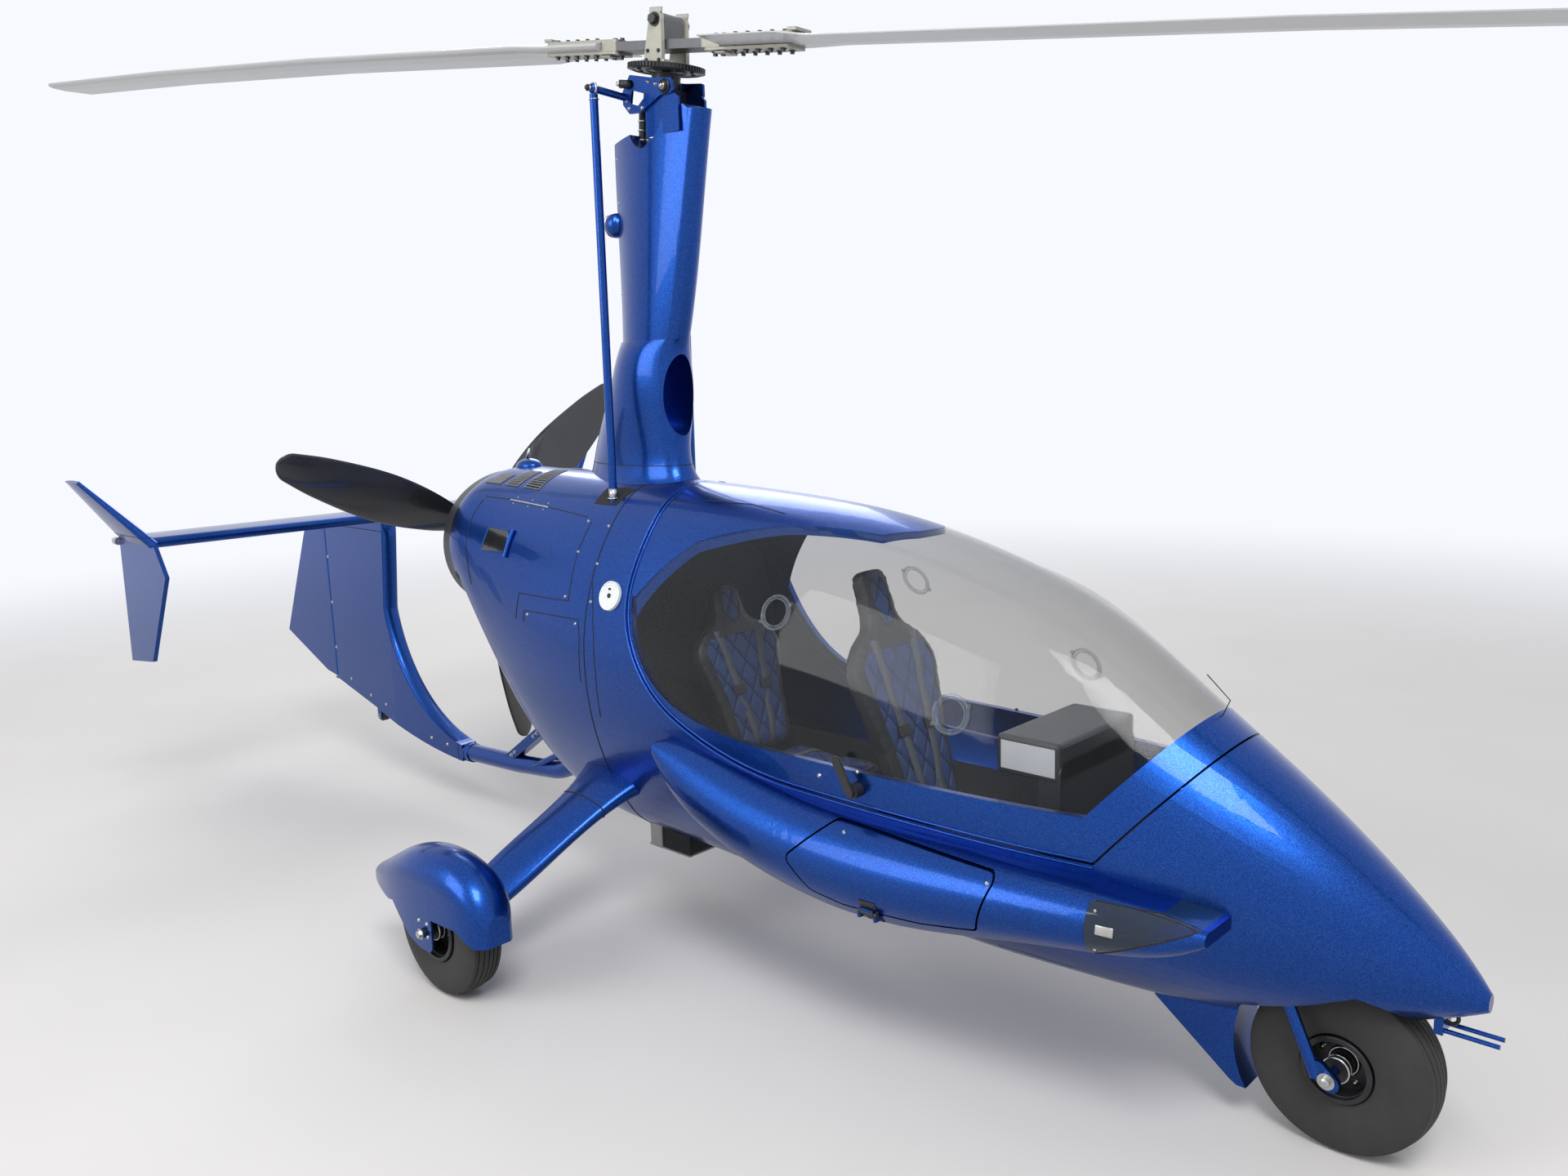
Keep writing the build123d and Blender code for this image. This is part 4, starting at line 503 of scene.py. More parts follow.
# Louvre fields by their corners from above: outer rear, inner rear, inner front, outer front
louvres = {
    "fields": [[(0.166, 0.874), (0.113, 0.845), (0.108, 0.782), (0.163, 0.797)],
               [(0.160, 0.764), (0.080, 0.738), (0.069, 0.677), (0.161, 0.696)],
               [(0.158, 0.655), (0.040, 0.640), (0.030, 0.580), (0.163, 0.568)]],
    "vanes": 12, "vaneRadius": 0.0021, "vaneLift": 0.0016, "edgeLift": 0.0010, "fieldLift": 0.0007,
}
screwMesh, rivetMesh = bmesh.new(), bmesh.new()
for side, sideName in sideNames.items():
    runs = [onSide(airframeSkin, side, seam, -0.0002) for seam in cowl["seams"]]
    tubeSet("cowlSeams" + sideName, runs, cowl["seamRadius"], "seamShadow")
    screwRow(screwMesh, airframeSkin, side, cowl["screws"], cowl["screwRadius"])
    screwRow(rivetMesh, airframeSkin, side, cowl["rivets"], cowl["rivetRadius"], 10)
    hinge = onSide(airframeSkin, side, cowl["hinge"], 0.0015)
    tubeSet("cowlHinge" + sideName, [hinge], cowl["hingeRadius"], "brightSteel")
    addPatch("cowlWindow" + sideName, cowl["window"], lambda y, z: fromSide(airframeSkin, side, y, z), (side, 0, 0),
             0.0012, "smokedPanel")
    frameRun = onSide(airframeSkin, side, cowl["window"] + cowl["window"][:1], 0.0010)
    tubeSet("cowlWindowEdge" + sideName, [frameRun], cowl["windowEdge"], "bluePaint")
    lip = onSide(airframeSkin, side, cowl["lip"], 0.0040)
    tubeSet("cowlWindowLip" + sideName, [lip], cowl["lipRadius"], "bluePaint", around=5)
    vaneRuns = []
    for k, field in enumerate(louvres["fields"]):
        corners = [(side * x, y) for x, y in field]
        patchFromAbove(f"louvreField{k}{sideName}", corners, louvres["fieldLift"])
        rear, innerRear, innerFront, front = [Vector(corner) for corner in corners]
        for vane in range(louvres["vanes"] + 1):
            share = vane / louvres["vanes"]
            ends = rear.lerp(innerRear, share), front.lerp(innerFront, share)
            vaneRuns.append(runFromAbove(*ends, 4, louvres["vaneLift"]))
        for start, end in ((rear, innerRear), (front, innerFront)):
            vaneRuns.append(runFromAbove(start, end, 6, louvres["edgeLift"]))
    tubeSet("louvreVanes" + sideName, vaneRuns, louvres["vaneRadius"], "vaneGrey")
splitRuns = cutRuns("fuselage", (0, cowl["splitY"], 0), (0, 1, 0))
tubeSet("cowlSplit", splitRuns, cowl["splitRadius"], "seamShadow", closed=True)
newPiece("cowlScrews", screwMesh, "brightSteel", smooth=False)
newPiece("cowlRivets", rivetMesh, "brightSteel", smooth=False)

# Black slots at the mast's foot where the pushrods enter, with silver rod ends
slotPlan = {"corners": [(0.188, 0.235), (0.122, 0.235), (0.122, 0.098), (0.188, 0.128)], "rod": (0.170, 0.159),
            "lift": 0.0009, "boot": (0.0155, 0.0138), "high": 0.034, "collar": (0.0165, 0.0022)}
slotMesh = bmesh.new()
for side, sideName in sideNames.items():
    patchFromAbove("rodSlot" + sideName, [(side * x, y) for x, y in slotPlan["corners"]], slotPlan["lift"])
    point, normal = fromAbove(airframeSkin, side * slotPlan["rod"][0], slotPlan["rod"][1])
    addRod(slotMesh, point + Vector((0, 0, 0.002)), point + Vector((0, 0, slotPlan["high"])), *slotPlan["boot"])
    addRing(slotMesh, point + Vector((0, 0, 0.004)), (0, 0, 1), *slotPlan["collar"], 28, 8)
newPiece("rodBoots", slotMesh, "brightSteel")

# Low hump with a short silver aerial at the cowl's rear
hump = {"centre": (0.0, 0.845), "size": (0.115, 0.085, 0.060), "aerial": ((0, 0.01, 0.026), (0, -0.006, 0.062)),
        "aerialRadii": (0.0055, 0.0035)}
humpPoint, humpNormal = fromAbove(airframeSkin, *hump["centre"])
humpMesh, aerialMesh = bmesh.new(), bmesh.new()
humpPlace = standOn(humpPoint - humpNormal * 0.002, humpNormal)
bmesh.ops.create_uvsphere(humpMesh, u_segments=40, v_segments=20, radius=0.5,
                          matrix=humpPlace @ Matrix.Diagonal((*hump["size"], 1)))
newPiece("cowlHump", humpMesh, "bluePaint")
addRod(aerialMesh, *(humpPoint + Vector(end) for end in hump["aerial"]), *hump["aerialRadii"])
newPiece("cowlAerial", aerialMesh, "brightSteel")

# Filler cap: a flat disc with a raised rim, a key barrel and a pull tab
capPlan = {"centre": (-0.010, 1.080), "disc": (0.046, 0.0448, 64), "foot": 0.010, "proud": 0.0075,
           "rims": ((0.0425, 0.0026, 64, 10), (0.033, 0.0012, 48, 8)), "barrel": (0.0075, 0.004, 0.0065, 24),
           "barrelLift": 0.0006, "slot": ((0.0018, 0.010, 0.0012), (0, 0, 0.0032), 0.0),
           "tab": ((0.010, 0.006, 0.003), (0.003, -0.020, 0.001), 0.001)}
capPoint, capNormal = fromSide(airframeSkin, -1, *capPlan["centre"])
capFace = capPoint + capNormal * capPlan["proud"]
capMesh, capDark = bmesh.new(), bmesh.new()
addRod(capMesh, capPoint - capNormal * capPlan["foot"], capFace, *capPlan["disc"])
for rim in capPlan["rims"]:
    addRing(capMesh, capFace, capNormal, *rim)
capPlace = standOn(capFace, capNormal)
addDisc(capDark, capPlace @ Vector((0, 0, capPlan["barrelLift"])), capNormal, *capPlan["barrel"])
for size, spot, bevel in (capPlan["slot"], capPlan["tab"]):
    addBlock(capDark, (0, 0, 0), size, capPlace @ Matrix.Translation(spot), bevel)
fillerCap = newPiece("fillerCap", capMesh, "whitePlastic")
sharpen(fillerCap)
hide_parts("fuel_cap")
newPiece("fillerLock", capDark, "darkAluminium")
print("cowl dressed")


# Canopy: bead lines along its joint, a roof seam, vents, screws and a yaw string

def arcPath(start, heading, arcs, step=3.0):        # points along arcs that turn upward, in the side view
    path, spot, angle = [Vector(start)], Vector(start), math.radians(heading)
    for radius, sweep in arcs:
        count = max(2, round(sweep / step))
        turn = math.radians(sweep) / count
        for _ in range(count):
            chord = 2 * radius * math.sin(turn / 2)
            angle += turn / 2
            spot = spot + Vector((math.cos(angle), math.sin(angle))) * chord
            angle += turn / 2
            path.append(spot)
    return path


canopyPlan = {
    "front": (-1.613, 0.626), "rear": (-0.760, 0.647), "arcs": [(1.050, 24.7), (0.430, 63.9)], "top": 1.402,
    "bead": 0.0034, "lift": 0.0006, "outside": -0.0062, "inside": 0.0088,
    "roof": [(-0.10, 1.357), (-0.192, 1.360), (-0.406, 1.356), (-0.55, 1.338)], "ventRadius": 0.046,
    "vents": [(-1.243, 0.915), (-0.670, 1.097)], "screws": [(-0.989, 0.733), (-0.865, 0.700)],
    "latchScrew": (-0.985, 0.733), "string": ((0, -0.016, 0.036), (0, 0.040, 0.088)), "stringY": -1.770,
    "thin": 0.0013, "screwRadius": 0.0065, "latchRadius": 0.0055,
    "ventRings": ((1.0, 0.001, 0.0042, 48, 10), (0.82, 0.002, 0.0024, 44, 8)), "tabAngles": (0.6, 3.7),
}
sillRun = Vector(canopyPlan["rear"]) - Vector(canopyPlan["front"])
heading = math.degrees(math.atan2(sillRun.y, sillRun.x))
sillPath = [Vector(canopyPlan["front"])] + arcPath(canopyPlan["rear"], heading, canopyPlan["arcs"])
sillPath.append(Vector((sillPath[-1].x, canopyPlan["top"])))


def besideLine(points, distance):
    moved = []
    for k, point in enumerate(points):
        ahead = (points[min(k + 1, len(points) - 1)] - points[max(k - 1, 0)]).normalized()
        moved.append(point + Vector((-ahead.y, ahead.x)) * distance)
    return moved


for side, sideName in sideNames.items():
    for name, tree, distance, body in (("sillBead", airframeSkin, canopyPlan["outside"], "airframe"),
                                       ("canopyBead", canopySkin, canopyPlan["inside"], "canopy")):
        run = onSide(tree, side, besideLine(sillPath, distance), canopyPlan["lift"], 0.01)
        tubeSet(name + sideName, [run], canopyPlan["bead"], "bluePaint", body)
roofTree = surfaceOf("canopy_frame")
roofRuns = [onSide(roofTree, side, canopyPlan["roof"]) for side in sideNames]
tubeSet("roofSeam", roofRuns, canopyPlan["thin"], "seamShadow", "canopy")

ventMesh, canopyScrews = bmesh.new(), bmesh.new()
glassSkin, radius = surfaceOf("canopy_glass"), canopyPlan["ventRadius"]
for side in sideNames:
    for y, z in canopyPlan["vents"]:
        point, normal = fromSide(glassSkin, side, y, z)
        for share, lift, thick, sides, around in canopyPlan["ventRings"]:
            addRing(ventMesh, point + normal * lift, normal, radius * share, thick, sides, around)
        for angle in canopyPlan["tabAngles"]:       # two finger tabs on each ring
            reach = Vector((math.cos(angle), math.sin(angle), 0)) * (radius + 0.006)
            addDisc(ventMesh, standOn(point + normal * 0.002, normal) @ reach, normal, 0.006, 0.005, 0.005, 16)
    screwRow(canopyScrews, canopySkin, side, canopyPlan["screws"], canopyPlan["screwRadius"])
screwRow(canopyScrews, surfaceOf("canopy_latch"), -1, [canopyPlan["latchScrew"]], canopyPlan["latchRadius"])
newPiece("ventRings", ventMesh, "lensClear", "canopy")
newPiece("canopyScrews", canopyScrews, "brightSteel", "canopy", smooth=False)
stringFoot = fromAbove(canopySkin, 0, canopyPlan["stringY"])[0]
if stringFoot is not None:
    stringRun = [stringFoot] + [stringFoot + Vector(step) for step in canopyPlan["string"]]
    tubeSet("slipString", [stringRun], canopyPlan["thin"], "seamShadow", "canopy")
print("canopy dressed")


# Side pods: the lids' screws and hinges, the lenses with a lamp bar

lensPlan = {"rearTop": (-1.652, 0.586), "rearLow": (-1.652, 0.457), "tip": (-1.915, 0.582),
            "screws": [(-1.672, 0.570), (-1.672, 0.480), (-1.885, 0.578)], "screwRadius": 0.0042, "edge": 0.0018}
lidPlan = {"screws": [(-1.414, 0.571), (-0.985, 0.589)], "leaf": (0.050, 0.020, 0.003), "levels": (0.440, 0.396),
           "screwRadius": 0.0058,
           "leafScrews": (-0.015, 0.015), "leafScrewRadius": 0.0032, "pin": (0.452, -1.090, 0.418), "pinRadius": 0.0066,
           "lidSleeve": 0.0195, "podSleeve": (0.0212, 0.0292)}
lampBarPlan = {"spot": (-1.700, 0.535), "size": (0.040, 0.022, 0.006)}
for side, sideName in sideNames.items():
    lidTree = surfaceOf("locker_lid_" + sideName.lower())
    podTree = surfaceOf("side_pod_" + sideName.lower())
    lidMesh, leafMesh, podLeaf = bmesh.new(), bmesh.new(), bmesh.new()
    screwRow(lidMesh, lidTree, side, lidPlan["screws"], lidPlan["screwRadius"])
    for tree, mesh, level in zip((lidTree, podTree), (leafMesh, podLeaf), lidPlan["levels"]):
        point, normal = fromSide(tree, side, lidPlan["pin"][1], level)
        if point is None:
            continue
        place = standOn(point + normal * 0.0012, normal)
        addBlock(mesh, (0, 0, 0), lidPlan["leaf"], place, 0.0008)
        for offset in lidPlan["leafScrews"]:
            addScrew(mesh, place @ Vector((offset, 0, 0.0012)), normal, lidPlan["leafScrewRadius"], 10)
    pin = Vector(lidPlan["pin"]) * Vector((side, 1, 1))
    near, far = lidPlan["podSleeve"]
    for mesh, start, end in ((leafMesh, -lidPlan["lidSleeve"], lidPlan["lidSleeve"]), (podLeaf, -near, -far),
                             (podLeaf, near, far)):
        addRod(mesh, pin + Vector((0, start, 0)), pin + Vector((0, end, 0)), lidPlan["pinRadius"], sides=28)
    newPiece("lidScrews" + sideName, lidMesh, "brightSteel", lidBody[side], smooth=False)
    newPiece("lidHingeLeaf" + sideName, leafMesh, "blackPlastic", lidBody[side], smooth=False)
    newPiece("podHingeLeaf" + sideName, podLeaf, "blackPlastic", smooth=False)
    lensNode = "pod_lens_" + sideName.lower()
    lensTree = surfaceOf(lensNode)
    shell = mergedCopy(lensNode)
    corner = {name: Vector((0, *lensPlan[name])) for name in ("rearTop", "rearLow", "tip")}
    for near in ("rearTop", "rearLow"):
        run = corner["tip"] - corner[near]
        cutPlane(shell, corner[near], Vector((0, -run.z, run.y)))
    lens = newPiece("podLens" + sideName, shell, "lensTinted")
    sharpen(lens)
    lens.data.materials.append(finish["bluePaint"])
    for face in lens.data.polygons:
        share = (face.center.y - corner["rearTop"].y) / (corner["tip"].y - corner["rearTop"].y)
        above = face.center.z > corner["rearTop"].z + (corner["tip"].z - corner["rearTop"].z) * share
        below = face.center.z < corner["rearLow"].z + (corner["tip"].z - corner["rearLow"].z) * share
        face.material_index = 1 if above or below or share > 1 else 0
    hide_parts(lensNode)
    rim = [lensPlan["rearTop"], lensPlan["tip"], lensPlan["rearLow"]]
    tubeSet("podLensEdge" + sideName, [onSide(lensTree, side, rim, 0.0002)], lensPlan["edge"], "seamShadow",
            "airframe")
    lensScrews, lampMesh = bmesh.new(), bmesh.new()
    screwRow(lensScrews, lensTree, side, lensPlan["screws"], lensPlan["screwRadius"], 10)
    newPiece("lensScrews" + sideName, lensScrews, "brightSteel", smooth=False)
    point, normal = fromSide(lensTree, side, *lampBarPlan["spot"])
    addBlock(lampMesh, (0, 0, 0), lampBarPlan["size"], standOn(point + normal * 0.0005, normal), 0.002)
    newPiece("lampBar" + sideName, lampMesh, "brightSteel")
print("pods dressed")


# Tyres spun from a ribbed profile

def spunPiece(name, profile, centre, steps, look, body):
    mesh = bmesh.new()
    verts = [mesh.verts.new((across, 0, radius)) for across, radius in profile]
    edges = [mesh.edges.new(pair) for pair in zip(verts, verts[1:] + verts[:1])]
    bmesh.ops.spin(mesh, geom=verts + edges, cent=(0, 0, 0), axis=(1, 0, 0), angle=math.tau, steps=steps,
                   use_merge=True)
    bmesh.ops.remove_doubles(mesh, verts=mesh.verts, dist=1e-6)
    bmesh.ops.recalc_face_normals(mesh, faces=mesh.faces)
    bmesh.ops.translate(mesh, vec=Vector(centre), verts=mesh.verts)
    piece = newPiece(name, mesh, look, body)
    sharpen(piece, 40)
    return piece


def tyreProfile(half, radius, rim, grooves, groove=0.0021, deep=0.0040):
    tall = radius - rim
    side = [(-0.74 * half, rim + 0.002), (-0.86 * half, rim + 0.006), (-0.95 * half, rim + 0.25 * tall),
            (-1.0 * half, rim + 0.47 * tall), (-0.985 * half, rim + 0.63 * tall), (-0.93 * half, rim + 0.77 * tall),
            (-0.85 * half, rim + 0.88 * tall), (-0.76 * half, rim + 0.945 * tall)]
    pitch = 1.08 * half / (grooves - 1)

    def crownAt(across):        # the tread is a little lower towards its edges
        return radius - 0.005 * (across / half) ** 2 / 0.3

    tread = []
    for k in range(grooves):
        across = (-0.54 + 1.08 * k / (grooves - 1)) * half
        crown = crownAt(across)
        tread += [(across - groove, crown), (across - groove * 0.7, crown - deep),
                  (across + groove * 0.7, crown - deep), (across + groove, crown)]
        if k < grooves - 1:
            tread.append((across + pitch / 2, crownAt(across + pitch / 2)))
    return side + tread + [(-across, level) for across, level in reversed(side)]


mainTyre = {"half": 0.056, "radius": 0.200, "rim": 0.092, "hub": 0.030, "grooves": 5}
tyrePlan = {
    "main_tyre_right": {**mainTyre, "centre": (-0.896, 0.102, 0.200), "body": "right_wheel"},
    "main_tyre_left": {**mainTyre, "centre": (0.896, 0.102, 0.200), "body": "left_wheel"},
    "nose_tyre": {**mainTyre, "centre": (0, -2.070, 0.200), "half": 0.061, "rim": 0.074, "hub": 0.027,
                  "body": "nose_wheel"},
}
wheelNuts = {"count": 5, "turn": 0.4, "ring": 0.050, "out": 0.0052, "radius": 0.0058, "high": 0.007}
valvePlan = {"angle": 1.1, "inside": 0.016, "x": -0.006, "reach": (-0.034, -0.004, -0.006), "radii": (0.0042, 0.0030)}
# Rings on each face of a wheel: sideways from the face, wider than the radius, thickness, segments round the tube
rimRings = ((-0.004, -0.001, 0.0040, 10), (-0.014, -0.010, 0.0022, 8))
hubRings = ((-0.004, 0.0006, 0.0034, 10), (-0.020, 0.0004, 0.0016, 8))
for node, plan in tyrePlan.items():
    profile = tyreProfile(plan["half"], plan["radius"], plan["rim"], plan["grooves"])
    tyre = spunPiece(node + "Ribbed", profile, plan["centre"], 120, "tyreRubber", plan["body"])
    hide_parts(node)
    centre = Vector(plan["centre"])
    rimMesh, brightMesh = bmesh.new(), bmesh.new()
    for side in sideNames:
        for mesh, rings, radius, sides in ((rimMesh, rimRings, plan["rim"], 64),
                                           (brightMesh, hubRings, plan["hub"], 40)):
            for inward, wider, thick, around in rings:
                spot = centre + Vector((side * (plan["half"] + inward), 0, 0))
                addRing(mesh, spot, (1, 0, 0), radius + wider, thick, sides, around)
        addRing(brightMesh, centre + Vector((side * 0.008, 0, 0)), (1, 0, 0), plan["hub"] + 0.004, 0.0038, 40, 8)
        for k in range(wheelNuts["count"]):
            angle = math.tau * k / wheelNuts["count"] + wheelNuts["turn"]
            ring = wheelNuts["ring"]
            spot = Vector((side * wheelNuts["out"], math.cos(angle) * ring, math.sin(angle) * ring))
            addNut(brightMesh, centre + spot, (side, 0, 0), wheelNuts["radius"], wheelNuts["high"])
    far, angle = plan["rim"] - valvePlan["inside"], valvePlan["angle"]
    valve = centre + Vector((valvePlan["x"], math.cos(angle) * far, math.sin(angle) * far))
    addRod(rimMesh, valve, valve + Vector(valvePlan["reach"]), *valvePlan["radii"])
    newPiece(node + "RimEdges", rimMesh, "darkAluminium", plan["body"])
    newPiece(node + "HubBands", brightMesh, "hubSilver", plan["body"])

# Nose axle ends outside the fork
axlePlan = {"foot": (0.1112, -2.070, 0.200),
            "steps": ((0.0, 0.005, 0.0185, 0.0185, 32), (0.005, 0.0148, 0.0106, 0.0106, 28),
                      (0.0148, 0.0172, 0.0106, 0.0070, 28))}
axleMesh = bmesh.new()
for side in sideNames:
    foot = Vector(axlePlan["foot"]) * Vector((side, 1, 1))
    for start, end, radius, tip, sides in axlePlan["steps"]:
        addRod(axleMesh, foot + Vector((side * start, 0, 0)), foot + Vector((side * end, 0, 0)), radius, tip, sides)
newPiece("noseAxleEnds", axleMesh, "hubSilver", "nose_steering", smooth=False)
print("wheels made")


# Rotor head, seen from below: rims and bolts on the ring gear, bolts on tower, bar and straps

head = {"tilt": 8.4, "swing": 4.5, "hub": (0, 0, 2.699), "teeterRise": 0.066,
        "strapBolts": (0.285, 0.330, 0.375, 0.420, 0.465),
        "innerBolts": (0.195, 0.225), "row": 0.020, "strapFace": 0.0212, "towerFace": 0.0602,
        "towerBolts": ((-0.026, -0.046), (0.026, -0.046), (-0.022, -0.020), (0.022, -0.020)),
        "gearBolts": 8, "gearRing": 0.085, "gearFace": -0.0705, "gearRims": ((0.106, 0.0026, 72), (0.062, 0.0030, 56)),
        "packing": (((0.034, 0.070, 0.010), 0.500, 0.0265), ((0.040, 0.060, 0.007), 0.236, -0.0250))}
tilt, swing = math.radians(head["tilt"]), math.radians(head["swing"])
spindle = Vector((0, -math.sin(tilt), math.cos(tilt)))
spanWay = Vector((-math.sin(swing), math.cos(swing) * math.cos(tilt), math.cos(swing) * math.sin(tilt)))
acrossWay = spindle.cross(spanWay)
rotorFrame = Matrix.Translation(head["hub"]) @ Matrix((spanWay, acrossWay, spindle)).transposed().to_4x4()


def atRotor(x, y, z):
    return rotorFrame @ Vector((x, y, z))


def rotorBlock(mesh, size, place, bevel=0.002):
    addBlock(mesh, (0, 0, 0), size, rotorFrame @ Matrix.Translation(place), bevel)


strapMesh, towerMesh, gearMesh, spacerMesh, rootMesh = [bmesh.new() for _ in range(5)]
rise = head["teeterRise"]
for way in (-1, 1):
    for face, heights in ((-head["strapFace"], (0.009, 0.011)), (head["strapFace"], (0.007, 0.009))):
        out = spindle * math.copysign(1, face)
        for reach in head["strapBolts"]:
            for row in (-head["row"], head["row"]):
                addNut(strapMesh, atRotor(way * reach, row, face), out, 0.0072, heights[0])
        for reach in head["innerBolts"]:
            addNut(strapMesh, atRotor(way * reach, 0, face), out, 0.0085, heights[1])
    out = acrossWay * way
    addNut(towerMesh, atRotor(0, way * head["towerFace"], rise), out, 0.0155, 0.016)
    for x, z in head["towerBolts"]:
        addNut(towerMesh, atRotor(x, way * head["towerFace"], z), out, 0.0046, 0.005)
    addRod(spacerMesh, atRotor(0, way * 0.0402, rise), atRotor(0, way * 0.0458, rise), 0.0150, sides=28)
    rotorBlock(spacerMesh, (0.050, 0.006, 0.016), (0, way * 0.056, 0.092))
    for size, reach, level in head["packing"]:
        rotorBlock(rootMesh, size, (way * reach, 0, level))
for k in range(head["gearBolts"]):
    angle = math.tau * k / head["gearBolts"] + 0.3
    spot = atRotor(math.cos(angle) * head["gearRing"], math.sin(angle) * head["gearRing"], -0.0702)
    addNut(gearMesh, spot, -spindle, 0.0056, 0.005)
for radius, thick, sides in head["gearRims"]:
    addRing(gearMesh, atRotor(0, 0, head["gearFace"]), spindle, radius, thick, sides, 8)
newPiece("strapBolts", strapMesh, "darkSteel", "rotor", smooth=False)
newPiece("towerBolts", towerMesh, "darkSteel", "rotor_head", smooth=False)
newPiece("teeterSpacers", spacerMesh, "bareAluminium", "rotor_head", smooth=False)
newPiece("ringGearBolts", gearMesh, "darkAluminium", "rotor_head", smooth=False)
newPiece("strapPacking", rootMesh, "bareAluminium", "rotor", smooth=False)

# Gimbal, fork and control linkage
linkage = {"crankX": 0.0665, "pivot": (-0.052, 2.569), "joint": (0.170, 0.150, 2.5823),
           "plateBolts": ((-0.012, 2.582), (0.020, 2.594), (0.122, 2.556), (0.112, 2.532), (0.052, 2.524)),
           "elbow": ((0.064, 0.100, 2.600), (0.086, 0.128, 2.603)),
           "elbowEnd": ((0.087, 0.129, 2.6031), (0.5, 0.85, 0.1)),
           "shaft": ((0.0, 0.124, 2.545), (0.0, 0.136, 2.400)), "collars": (2.505, 2.478, 2.450),
           "drive": ((0, 0.030, 2.530), (0, 0.122, 2.540))}
linkBlack, linkBright = bmesh.new(), bmesh.new()
for side in sideNames:
    out, mirror = Vector((side, 0, 0)), Vector((side, 1, 1))
    addNut(linkBlack, Vector((side * linkage["crankX"], *linkage["pivot"])), out, 0.0165, 0.012, 12)
    addNut(linkBright, Vector((side * (linkage["crankX"] + 0.010), *linkage["pivot"])), out, 0.0080, 0.009)
    for y, z in linkage["plateBolts"]:
        addNut(linkBright, Vector((side * linkage["crankX"], y, z)), out, 0.0046, 0.005)
    addRod(linkBlack, *(Vector(end) * mirror for end in linkage["elbow"]), 0.0125)
    addDisc(linkBright, *(Vector(end) * mirror for end in linkage["elbowEnd"]), 0.0095, 0.012, 0.007, 20)
    joint = Vector(linkage["joint"]) * mirror
    addRing(linkBright, joint, out, 0.0125, 0.0058, 32, 10)
    addRod(linkBright, joint - out * 0.020, joint + out * 0.022, 0.0062, sides=16)
    addNut(linkBlack, joint + out * 0.021, out, 0.0078, 0.007)
    addRod(linkBright, joint - Vector((0, 0, 0.012)), joint - Vector((0, 0, 0.044)), 0.0085, sides=16)
    addNut(linkBright, joint - Vector((0, 0, 0.030)), (0, 0, -1), 0.0125, 0.008)
addRod(linkBlack, *linkage["shaft"], 0.013, sides=24)
shaftTop, shaftFoot = [Vector(end) for end in linkage["shaft"]]
for level in linkage["collars"]:
    share = (shaftTop.z - level) / (shaftTop.z - shaftFoot.z)
    addRing(linkBright, shaftTop.lerp(shaftFoot, share), (0, 0.1, -1), 0.0135, 0.0030, 28, 8)
addRod(linkBlack, *linkage["drive"], 0.016, 0.012, 24)
newPiece("linkageBlack", linkBlack, "blackPlastic", "airframe")
newPiece("linkageBright", linkBright, "brightSteel")

# Mast: screws and the ball lamp on its rear edge
mastPlan = {"screws": ((0.240, 2.405), (0.236, 2.272), (0.250, 1.994), (0.145, 1.832)), "screwRadius": 0.0048,
            "scoopSeam": 1.450, "seamRadius": 0.0013}
ballLamp = {"centre": (0, 0.286, 2.210), "radius": 0.040, "back": 0.008, "lens": 0.036, "lensBack": 0.002,
            "neck": (0.034, 0.004), "neckRadii": (0.036, 0.040), "ring": (0.0345, 0.0030), "ringOut": 0.013}
mastTree, mastScrews = surfaceOf("mast"), bmesh.new()
for side in sideNames:
    screwRow(mastScrews, mastTree, side, mastPlan["screws"], mastPlan["screwRadius"])
newPiece("mastScrews", mastScrews, "brightSteel", smooth=False)


def behindLamp(distance):
    return Vector(ballLamp["centre"]) - Vector((0, distance, 0))


def addBall(mesh, centre, radius, sides):
    bmesh.ops.create_uvsphere(mesh, u_segments=sides, v_segments=sides // 2, radius=radius,
                              matrix=Matrix.Translation(centre) @ Matrix.Rotation(math.pi / 2, 4, "X"))


ballMesh, ballLens, ballRing = bmesh.new(), bmesh.new(), bmesh.new()
addBall(ballMesh, behindLamp(ballLamp["back"]), ballLamp["radius"], 48)
addRod(ballMesh, *(behindLamp(distance) for distance in ballLamp["neck"]), *ballLamp["neckRadii"], 48)
addBall(ballLens, behindLamp(ballLamp["lensBack"]), ballLamp["lens"], 40)
addRing(ballRing, behindLamp(-ballLamp["ringOut"]), (0, 1, 0), *ballLamp["ring"], 48, 10)
ballHousing = newPiece("ballLampHousing", ballMesh, "bluePaint")
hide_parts("mast_lamp")
newPiece("ballLampLens", ballLens, "hubSilver", "airframe")
newPiece("ballLampRing", ballRing, "brightSteel")
scoopRuns = cutRuns("mast_scoop", (0, 0, mastPlan["scoopSeam"]), (0, 0, 1))
tubeSet("scoopSeam", scoopRuns, mastPlan["seamRadius"], "seamShadow", closed=True)

# Propeller blades with a smooth outline: radius share, chord, thickness, pitch, then hub bolts

propeller = {"hub": (0, 1.158, 1.166), "radius": 0.850, "angles": (68.2, 188.2, 308.2), "steps": 40, "around": 28,
             "round": 0.05, "stations": [(0.085, 0.058, 0.040, 52), (0.24, 0.150, 0.030, 40), (0.50, 0.196, 0.020, 28),
                                         (0.80, 0.152, 0.013, 20), (1.00, 0.084, 0.008, 17)]}


